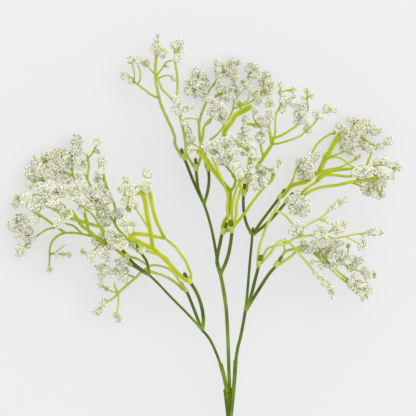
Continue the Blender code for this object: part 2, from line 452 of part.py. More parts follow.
            (0.75, 0.6, [(60, 113.5), (70, 104), (77, 97.5), (83, 92.5)]),
            (0.75, 0.6, [(66, 111), (76, 109), (82, 105.5), (85, 103), (91, 101.5), (97, 100)]),
            (0.75, 0.6, [(68, 116), (74, 113.5), (84, 111), (92, 109)]),
            (0.7, 0.6, [(82, 96), (88, 90), (94, 85)]),
            (0.7, 0.6, [(83, 96), (90, 94), (96, 90.5)]),
        ],
        heads={
            "head_right_low_a": [(53, 117.5, 3.4), (57, 117, 4), (62, 117, 4.2), (66, 114.5, 4.2),
                                 (70, 115, 4), (52, 121.5, 2.5), (59.5, 121, 2.8)],
            "head_right_low_b": [(72, 121, 3.1), (76, 121, 2.7), (79, 121, 2.2), (74, 117, 3.1)],
            "head_right_low_c": [(72, 111.5, 3.6), (77, 114, 3.5), (80.5, 112.5, 3.1), (84.3, 111, 2.7),
                                 (88, 110.3, 2.5), (92, 109, 3), (89.5, 106.5, 2.6)],
            "head_right_low_d": [(77, 107.5, 3.5), (74, 105.5, 3.5), (69, 105.5, 2.8), (64.5, 104.5, 2.3)],
            "head_right_low_e": [(85, 103.5, 3), (88, 105, 3)],
            "head_right_low_f": [(95, 101.5, 3), (97.5, 98.5, 3.5), (101.3, 98.5, 2.8, "g")],
            "head_right_low_g": [(88, 97, 3.1), (85.5, 94.7, 2.8), (90, 94, 3.1), (92.5, 91.5, 3.5),
                                 (95.5, 90.5, 3.5), (98, 88.5, 2.9), (85, 91, 2.7), (88.5, 88.5, 3.2),
                                 (92.5, 86.3, 2.8), (95, 83, 3.1)],
        },
        singles=[(39, 122, 1.6, "g"), (58, 107.5, 2), (84, 119, 1.8, "g")],
    ),
})
# Heads that sit in front of or behind their spray's sheet, in millimetres.
LIFTS = {
    "head_left_low_c": 8.0,
    "head_mid_left_b": 4.5,
    "head_top_back_b": 6.0,
    "head_right_pale_b": 5.0,
    "head_right_low_a": -9.0,
    "head_right_low_c": 8.0,
    "head_right_low_g": 7.5,
    "head_right_front_d": -9.5,
}


def sheet_height(spray, x, y):
    """Height of a spray's curved sheet: an eased rise with the distance from its collar."""
    t = min(math.hypot(x - spray["tip"][0], y - spray["tip"][1]) / spray["reach"], 1.0)
    return spray["tip"][2] + spray["rise"] * t * t * (3.0 - 2.0 * t)


def point_at(points, length_from_end):
    """Point and direction on a polyline, the given length before its end."""
    left = length_from_end
    for a, b in zip(points[::-1], points[-2::-1]):
        a, b = Vector(a), Vector(b)
        step = (a - b).length
        if left <= step:
            return a + (b - a) * (left / step), (a - b).normalized()
        left -= step
    return Vector(points[0]), (Vector(points[1]) - Vector(points[0])).normalized()


def ring_solid(points, radii, sides, turn=0.0):
    """Closed solid of rings of a few corners carried along a polyline; a radius of zero is a pole."""
    bm = bmesh.new()
    rings = []
    normal = None
    for i, (p, r) in enumerate(zip(points, radii)):
        before = points[max(i - 1, 0)]
        after = points[min(i + 1, len(points) - 1)]
        along = (after - before).normalized()
        if normal is None:
            normal = along.orthogonal().normalized()
            normal.rotate(Quaternion(along, turn))
        normal = (normal - along * normal.dot(along)).normalized()
        side = along.cross(normal)
        if r == 0.0:
            rings.append([bm.verts.new(p * MM)])
            continue
        ring = []
        for k in range(sides):
            angle = 2.0 * math.pi * k / sides
            ring.append(bm.verts.new((p + (normal * math.cos(angle) + side * math.sin(angle)) * r) * MM))
        rings.append(ring)
    for low, high in zip(rings, rings[1:]):
        for k in range(sides):
            n = (k + 1) % sides
            corners = [low[k % len(low)], low[n % len(low)], high[n % len(high)], high[k % len(high)]]
            bm.faces.new(list(dict.fromkeys(corners)))
    for ring in (rings[0], rings[-1]):
        if len(ring) > 1:
            bm.faces.new(ring)
    bmesh.ops.recalc_face_normals(bm, faces=bm.faces)
    mesh = bpy.data.meshes.new("solid")
    bm.to_mesh(mesh)
    bm.free()
    return mesh


class Tube:
    """A tapered rod along a polyline."""

    def __init__(self, points, r0, r1, sides=4):
        self.points = [Vector(p) for p in points]
        self.sides = sides
        n = len(self.points) - 1
        self.radii = [r0 + (r1 - r0) * i / n for i in range(n + 1)]

    def samples(self):
        out = []
        for i in range(len(self.points) - 1):
            a, b = self.points[i], self.points[i + 1]
            n = max(1, int((b - a).length / 0.7))
            for k in range(n + 1):
                t = k / n
                out.append((*(a + (b - a) * t), self.radii[i] + (self.radii[i + 1] - self.radii[i]) * t))
        return out

    def mesh(self, grow=0.0):
        """The rod, or with grow the rod whose flats stand that much further out."""
        extra = grow / math.cos(math.pi / self.sides)
        points = [p.copy() for p in self.points]
        if grow:
            points[0] += (points[0] - points[1]).normalized() * grow
            points[-1] += (points[-1] - points[-2]).normalized() * grow
        return ring_solid(points, [r + extra for r in self.radii], self.sides)


class Bud:
    """A round bud of few facets, with a stalk where a foot is given."""

    def __init__(self, centre, radius, foot=None):
        self.centre, self.radius, self.foot = Vector(centre), radius, foot
        self.sides = 4 if radius < LARGE_BUD else 5

    def samples(self):
        out = [(*self.centre, self.radius * 1.12)]
        if self.foot is not None:
            out += Tube([self.foot, self.centre], STALK, STALK).samples()
        return out

    def mesh(self, grow=0.0):
        r = self.radius * 1.1 + grow * 1.5
        if self.foot is not None:
            axis = (self.centre - self.foot).normalized()
        else:
            axis = Vector((math.sin(self.centre.y), math.cos(self.centre.x), 0.6)).normalized()
        low = [(self.centre - axis * r, 0.0)]
        if self.foot is not None and (self.centre - self.foot).length > r * 0.9:
            neck = min(r * 0.85, (self.centre - self.foot).length - 0.3)
            low = [(self.foot - axis * grow, STALK + grow), (self.centre - axis * neck, STALK + grow)]
        if self.sides == 5:
            rings = [(self.centre - axis * r * 0.35, r * 0.92), (self.centre + axis * r * 0.45, r * 0.88)]
        else:
            rings = [(self.centre, r)]
        profile = low + rings + [(self.centre + axis * r, 0.0)]
        return ring_solid([p for p, _ in profile], [w for _, w in profile], self.sides, self.centre.x)


def in_collection(pieces, name, grow=0.0):
    """Puts the meshes of the pieces into a hidden collection of their own."""
    group = bpy.data.collections.new(name)
    bpy.context.scene.collection.children.link(group)
    for piece in pieces:
        thing = bpy.data.objects.new(name + "_piece", piece.mesh(grow))
        thing.display_type = "WIRE"
        thing.hide_render = True
        group.objects.link(thing)
    return group


def empty_collection(group):
    for thing in list(group.objects):
        data = thing.data
        bpy.data.objects.remove(thing)
        bpy.data.meshes.remove(data)
    bpy.data.collections.remove(group)


def apply_boolean(target, group, operation):
    """Joins or cuts the target by everything in the collection, in one exact Boolean."""
    cut = target.modifiers.new(operation.lower(), "BOOLEAN")
    cut.operation = operation
    cut.operand_type = "COLLECTION"
    cut.collection = group
    cut.solver = "EXACT"
    graph = bpy.context.evaluated_depsgraph_get()
    mesh = bpy.data.meshes.new_from_object(target.evaluated_get(graph))
    old = target.data
    target.modifiers.clear()
    target.data = mesh
    bpy.data.meshes.remove(old)


def thin_out(target, share):
    """Collapses the shortest edges that fusing left, down to the given share of the triangles."""
    thin = target.modifiers.new("thin", "DECIMATE")
    thin.ratio = share
    thin.use_collapse_triangulate = True
    graph = bpy.context.evaluated_depsgraph_get()
    mesh = bpy.data.meshes.new_from_object(target.evaluated_get(graph))
    old = target.data
    target.modifiers.clear()
    target.data = mesh
    bpy.data.meshes.remove(old)


def keep_largest(target):
    """Leaves only the largest connected piece of the target's mesh; returns how many there were."""
    bm = bmesh.new()
    bm.from_mesh(target.data)
    bmesh.ops.remove_doubles(bm, verts=bm.verts, dist=MERGE)
    # A face left standing on the surface with a free edge is dropped.
    for _ in range(4):
        flaps = [f for f in bm.faces if any(len(e.link_faces) == 1 for e in f.edges)]
        if not flaps:
            break
        bmesh.ops.delete(bm, geom=flaps, context="FACES")
    left = set(bm.verts)
    islands = []
    while left:
        stack = [left.pop()]
        island = set(stack)
        while stack:
            for edge in stack.pop().link_edges:
                for v in edge.verts:
                    if v in left:
                        left.discard(v)
                        island.add(v)
                        stack.append(v)
        islands.append(island)
    islands.sort(key=len, reverse=True)
    for island in islands[1:]:
        bmesh.ops.delete(bm, geom=list(island), context="VERTS")
    bmesh.ops.recalc_face_normals(bm, faces=bm.faces)
    bm.to_mesh(target.data)
    bm.free()
    return len(islands)


def nearest_on(tubes, p, back):
    """Nearest point on the tubes' centre lines, moved back towards their start, and its distance."""
    best = None
    for tube in tubes:
        for a, b in zip(tube.points, tube.points[1:]):
            d = b - a
            t = min(max((p - a).dot(d) / d.length_squared, 0.0), 1.0)
            q = a + d * t
            gap = (p - q).length
            if best is None or gap < best[1]:
                t = min(max(t - back * gap / d.length, 0.0), 1.0)
                best = (a + d * t, gap)
    return best


def close_pieces(earlier, later):
    """The earlier pieces that come nearer than the gap to any of the later ones."""
    cloud = np.array([s for piece in later for s in piece.samples()])
    out = []
    for piece in earlier:
        own = np.array(piece.samples())
        apart = np.linalg.norm(own[:, None, :3] - cloud[None, :, :3], axis=2)
        if (apart < own[:, None, 3] + cloud[None, :, 3] + GAP + 0.1).any():
            out.append(piece)
    return out


def build_node(name, pieces, slot, earlier, share=1.0, shade=None):
    """One closed body: the pieces fused, then cleared from the earlier nodes' pieces by the gap."""
    node = bpy.data.objects.new(name, pieces[0].mesh())
    parts.objects.link(node)
    if pieces[1:]:
        group = in_collection(pieces[1:], name + "_fuse")
        apply_boolean(node, group, "UNION")
        empty_collection(group)
    if share < 1.0:
        thin_out(node, share)
    near = close_pieces(earlier, pieces)
    if near:
        group = in_collection(near, name + "_clear", GAP)
        apply_boolean(node, group, "DIFFERENCE")
        empty_collection(group)
    islands = keep_largest(node)
    material = bpy.data.materials.new(name + "_" + slot)
    material.use_nodes = True
    shader = material.node_tree.nodes["Principled BSDF"]
    colour, rough = LOOKS[slot]
    shader.inputs["Base Color"].default_value = (*SHADES.get(shade, colour), 1.0)
    shader.inputs["Roughness"].default_value = rough
    node.data.materials.clear()
    node.data.materials.append(material)
    print(name, "pieces found", islands, "cut by", len(near), "faces", len(node.data.polygons))
    earlier.extend(pieces)
    return node


parts = bpy.data.collections.new("gypsophila_stem")
bpy.context.scene.collection.children.link(parts)
built = []

# The three branches: tapered rods that join at two junctions.
for name, rods in BRANCHES.items():
    tubes = [Tube(points, r0, r1, 5) for r0, r1, points in rods]
    build_node(name, tubes, "stem_green", built)

# The main stem slopes down from the fork to its cut end. Its sleeve flares, with a slanted mouth, and the
# roots of the branches sit in pockets and grooves in it.
stem = [
    Tube([(0.4, STEM_CUT, STEM_LOW), (0.4, -110, STEM_LOW * 0.5), (0.4, 0, -2.2), (0.2, 14, -1)],
         2.5, 2.5, 8),
    Tube([(0.4, 1, -2.0), (0.1, 9.5, -1.3), (-0.2, 16.3, -1.0), (-0.3, 18.3, 0)], 2.5, 3.9, 8),
]
build_node("main_stem", stem, "stem_green", built)

# The sprays: a collar on each branch tip, arms on the spray's sheet, stalks to the buds.
heads = []
for name, spray in SPRAYS.items():
    rod = BRANCHES[spray["on"][0]][spray["on"][1]][2]
    collar_top, axis = point_at(rod, COLLAR_TOP)
    collar_low, _ = point_at(rod, COLLAR_TOP + COLLAR_LENGTH)
    spray["tip"] = tuple(collar_top)
    collar_radius = BRANCHES[spray["on"][0]][spray["on"][1]][1] + COLLAR_WALL
    tubes = [Tube([collar_low, collar_top], collar_radius, collar_radius, 6)]
    arms = []
    for i, (r0, r1, flat) in enumerate(spray["arms"]):
        points = [Vector((x, y, sheet_height(spray, x, y))) for x, y in flat]
        if (points[0] - collar_top).length < 6.0:
            middle = (collar_top + collar_low) / 2.0
            aim = (points[1] - middle).normalized()
            side = aim - axis * aim.dot(axis)
            lift = Vector((0, 0, 0.55 if i % 2 else -0.55))
            side = (side.normalized() + lift).normalized()
            points[0] = middle + side * (collar_radius - 0.35)
            points[1] = points[1] + side * 0.8
        arms.append(Tube(points, r0, r1, 4 if r0 > 1.04 else 3))
    tubes += arms
    buds = []
    for title, group in spray["heads"].items():
        level = [Vector((b[0], b[1], sheet_height(spray, b[0], b[1]))) for b in group]
        made = []
        for k, (p, b) in enumerate(zip(level, group)):
            p.z += b[2] * DEPTHS[k % len(DEPTHS)] + LIFTS.get(title, 0.0)
            made.append(Bud(p, b[2]))
        if len(made) >= OWN_NODE:
            heads.append((title, made, arms))
        else:
            buds += made
    for k, b in enumerate(spray["singles"]):
        lift = b[2] * DEPTHS[k % len(DEPTHS)]
        buds.append(Bud((b[0], b[1], sheet_height(spray, b[0], b[1]) + lift), b[2]))
    # A bud that no arm reaches gets a stalk from the nearest arm, set back along it.
    for bud in buds:
        foot, apart = nearest_on(arms, bud.centre, 0.6)
        if apart > bud.radius * 0.55:
            bud.foot = foot
    build_node(name, tubes + buds, "spray_green", built, SPRAY_SHARE, spray["shade"])

# The dense heads: buds that hold together, joined by stalks where two of them do not touch.
for title, buds, arms in heads:
    joined = [buds[0]]
    loose = buds[1:]
    links = []
    while loose:
        a, b = min(((p, q) for p in joined for q in loose),
                   key=lambda pair: (pair[0].centre - pair[1].centre).length
                   - pair[0].radius - pair[1].radius)
        if (a.centre - b.centre).length > OVERLAP * (a.radius + b.radius):
            links.append(Tube([a.centre, b.centre], LINK, LINK, 3))
        joined.append(b)
        loose.remove(b)
    build_node(title, buds + links, "flock_white", built, HEAD_SHARE)

total = 0
low = np.full(3, 1e9)
high = np.full(3, -1e9)
for node in parts.objects:
    count = sum(len(f.vertices) - 2 for f in node.data.polygons)
    total += count
    corners = np.array([v.co for v in node.data.vertices]) / MM
    low = np.minimum(low, corners.min(0))
    high = np.maximum(high, corners.max(0))
    node.location = Vector(ORIGIN) * -MM
print("nodes", len(parts.objects), "triangles", total, "low", low.round(2), "high", high.round(2))
print("bottom centre", ((low[0] + high[0]) / 2).round(2), ((low[1] + high[1]) / 2).round(2), low[2].round(2))
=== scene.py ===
# %% [markdown]
# # Gypsophila stem, lying down
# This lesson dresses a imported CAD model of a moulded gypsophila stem. The solids are plain and faceted, so
# every one of them is replaced here by a finer piece of the same form: round tapered rods, collars, needle
# leaves, and buds that are covered in white granules. The lengths are in millimetres and are scaled once,
# when a mesh is made.

# %% Load the frame
import math

import bpy
import numpy as np
from mathutils import Euler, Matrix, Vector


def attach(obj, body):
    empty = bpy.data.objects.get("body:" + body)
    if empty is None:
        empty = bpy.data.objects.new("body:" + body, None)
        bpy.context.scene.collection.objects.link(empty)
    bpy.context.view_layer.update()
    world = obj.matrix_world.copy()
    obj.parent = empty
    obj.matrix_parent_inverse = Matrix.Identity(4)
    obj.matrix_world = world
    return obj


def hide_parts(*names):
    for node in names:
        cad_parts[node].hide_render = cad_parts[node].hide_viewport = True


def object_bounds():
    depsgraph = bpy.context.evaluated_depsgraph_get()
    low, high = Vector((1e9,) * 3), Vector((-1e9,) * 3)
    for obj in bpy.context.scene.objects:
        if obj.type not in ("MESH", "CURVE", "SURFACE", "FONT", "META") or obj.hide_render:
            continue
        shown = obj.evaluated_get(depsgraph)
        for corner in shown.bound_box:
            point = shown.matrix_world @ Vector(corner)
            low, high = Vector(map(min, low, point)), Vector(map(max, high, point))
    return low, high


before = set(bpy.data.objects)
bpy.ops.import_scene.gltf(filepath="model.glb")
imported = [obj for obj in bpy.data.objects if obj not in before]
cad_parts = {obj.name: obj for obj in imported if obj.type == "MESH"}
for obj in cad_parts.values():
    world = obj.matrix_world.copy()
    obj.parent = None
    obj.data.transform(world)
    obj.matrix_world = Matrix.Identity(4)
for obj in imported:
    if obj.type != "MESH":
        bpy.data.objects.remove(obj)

CAD_BOX = [list(map(float, corner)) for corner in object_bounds()]
MM = 0.001
PLAN_ORIGIN = np.array([-17.9, 18.7, -40.9])
print("solids in the frame:", len(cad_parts))

# %% [markdown]
# ## The camera, straight above
# The photograph shows the stem from the side at eye level. Here the stem lies on the floor, so the camera
# looks straight down on it. A long lens from far away keeps the picture as flat as the photograph. The width
# of the picture and its centre are measured on the plane in which the branches lie.

# %% Camera
PICTURE_WIDTH = 291.2
PICTURE_CENTRE = (-14.7, 145.6)
EYE_DISTANCE = 2500.0
SENSOR = 36.0


def add_camera():
    """A camera that looks down -Z, with a lens that shows PICTURE_WIDTH at EYE_DISTANCE."""
    data = bpy.data.cameras.new("studio_camera")
    data.sensor_width = SENSOR
    data.lens = SENSOR * EYE_DISTANCE / PICTURE_WIDTH
    data.clip_start = 0.05
    data.clip_end = 60.0
    camera = bpy.data.objects.new("studio_camera", data)
    camera.location = ((PICTURE_CENTRE[0] - PLAN_ORIGIN[0]) * MM,
                       (PICTURE_CENTRE[1] - PLAN_ORIGIN[1]) * MM,
                       (EYE_DISTANCE - PLAN_ORIGIN[2]) * MM)
    bpy.context.scene.collection.objects.link(camera)
    bpy.context.scene.camera = camera
    return camera


camera = add_camera()
print("lens", round(camera.data.lens, 1), "mm")

# %% [markdown]
# ## Where everything is
# A branch is a list of rods, and each rod has a radius at both ends and points on its centre line. A spray
# is pushed on the tip of one of those rods. Its arms are flat lists of points, because the whole spray lies
# on one gently curved sheet: a formula gives the height of every point from its distance to the collar.
# Buds are listed by place and radius, with a letter where the photograph shows another colour in the middle.

# %% Layout of the branches, sprays and heads
# Layout of the stem, in millimetres: X to the right, Y up the stem, Z towards the side that is seen.
# BRANCHES: for every branch its rods, each (start radius, end radius, [(x, y, z), ...]).
BRANCHES = {
    "branch_left": [
        (1.35, 1.45, [(-0.9, 11.5, 0.5), (-1.6, 18.5, 1.2), (-3.3, 27, 1.4), (-6, 37, 1)]),
        (0.95, 0.95, [(-5.2, 34, 1), (-8.5, 43, 0.6), (-12, 51, 0.3), (-15.5, 56.5, 0), (-19.5, 60.8, 0)]),
        (0.85, 0.85, [(-19, 60.2, 0), (-23, 65, -0.5), (-30, 72.5, -1), (-40, 82.5, -2), (-50, 93, -3),
            (-56, 98.8, -3)]),
        (1.15, 1.0, [(-19, 60, 0), (-22, 68, -3), (-25.5, 77, -7), (-29, 85.5, -11), (-31.5, 89.5, -13),
            (-34, 93.5, -14.5)]),
        (1.3, 1.15, [(-19, 60, 0), (-17.9, 66, 3), (-18.3, 72, 5.5), (-19.5, 78, 8), (-21.5, 84, 10),
            (-24.5, 90, 11.5), (-28, 95, 12), (-31.5, 100.5, 12)]),
        (1.0, 0.9, [(-55.6, 98.4, -3), (-57.5, 107.5, -4), (-60.5, 112.5, -4), (-64, 118, -4),
            (-65.5, 121, -4)]),
        (1.0, 0.9, [(-55.6, 98.4, -3), (-61, 102.5, 3), (-66, 106.5, 7), (-71, 112, 10), (-75, 117.5, 11)]),
        (1.0, 0.9, [(-55.6, 98.4, -3), (-60, 100.5, -10), (-65, 103.5, -16), (-71, 107, -19),
            (-75, 109.5, -20)]),
    ],
    "branch_middle": [
        (1.2, 1.26, [(0.8, 13, -1.7), (0.5, 19.5, -1.4), (0, 30, -1.4), (-0.6, 50, -1), (-1.7, 72, -0.5),
            (-3, 83, 0), (-4.5, 92, 0), (-6.3, 101, 0)]),
        (1.0, 0.95, [(-6, 99.5, 0), (-8, 108, -1), (-9.5, 117, -1.5), (-12, 130, -2), (-15, 141, -2.5),
            (-17.8, 149.3, -3)]),
        (1.3, 1.15, [(-6, 99.5, 0), (-8.3, 107, 4), (-8, 113, 7), (-6.5, 120, 10.5), (-5, 127, 13),
            (-3, 131, 14), (-1, 135.5, 15)]),
        (1.3, 1.15, [(-6, 99.5, 0), (-2.5, 107, 7), (-0.3, 114, 12), (1, 121, 17), (1.8, 128, 22),
            (1.3, 133, 25), (0.6, 137, 26.5)]),
        (1.15, 1.0, [(-17.6, 148.6, -3), (-22, 158, -4), (-26, 167, -5), (-29.5, 176, -6), (-32, 182, -6.5),
            (-33.5, 187.5, -7)]),
        (1.15, 1.0, [(-17.6, 148.6, -3), (-21.3, 158, 1), (-22.3, 165, 4), (-23, 172, 6),
            (-23.4, 180.5, 8)]),
        (1.15, 1.0, [(-17.6, 148.6, -3), (-15.5, 155, -10), (-14.2, 162, -16), (-14, 168, -20),
            (-14.7, 174, -22), (-15, 180, -23)]),
    ],
    "branch_right": [
        (1.1, 1.5, [(1.2, -7, -1.2), (1.7, 1, 0.2), (2.5, 10, 1), (3.3, 19.5, 1.2), (4, 28, 1),
            (4.6, 39.5, 0.6)]),
        (1.1, 1.1, [(4.5, 37, 0.7), (6, 47, 0.4), (8, 55, 0.2), (9.8, 64, 0), (11.7, 75, 0)]),
        (0.95, 0.9, [(11.5, 73.5, 0), (13, 88, -0.5), (14, 100, -1), (15, 112, -1.5), (15.8, 120, -2),
            (16.4, 128, -2), (16.9, 132, -2)]),
        (1.2, 1.1, [(11.5, 73.5, 0), (15.5, 85, 5), (18, 95, 10), (20, 103, 14), (20.9, 108.5, 16.5),
            (22.3, 113, 18)]),
        (1.25, 1.1, [(11.5, 73.5, 0), (18, 84, 1), (23, 92, 2), (28, 99.5, 3), (33, 105.5, 4),
            (37, 112, 5)]),
        (1.1, 0.95, [(16.3, 126.5, -2), (12.5, 134, 0), (10.5, 142, 2), (10, 150, 3), (10.3, 158, 4),
            (10.9, 163, 4.5)]),
        (1.1, 0.95, [(16.3, 126.5, -2), (22, 135, -6), (28, 143, -10), (33, 149.5, -13), (37, 155, -15),
            (39.5, 159, -16)]),
        (1.1, 0.95, [(16.3, 126.5, -2), (25, 133.5, 2), (32, 140.5, 5), (38, 147.5, 7), (41.5, 152, 8),
            (44.5, 156.5, 9)]),
    ],
}
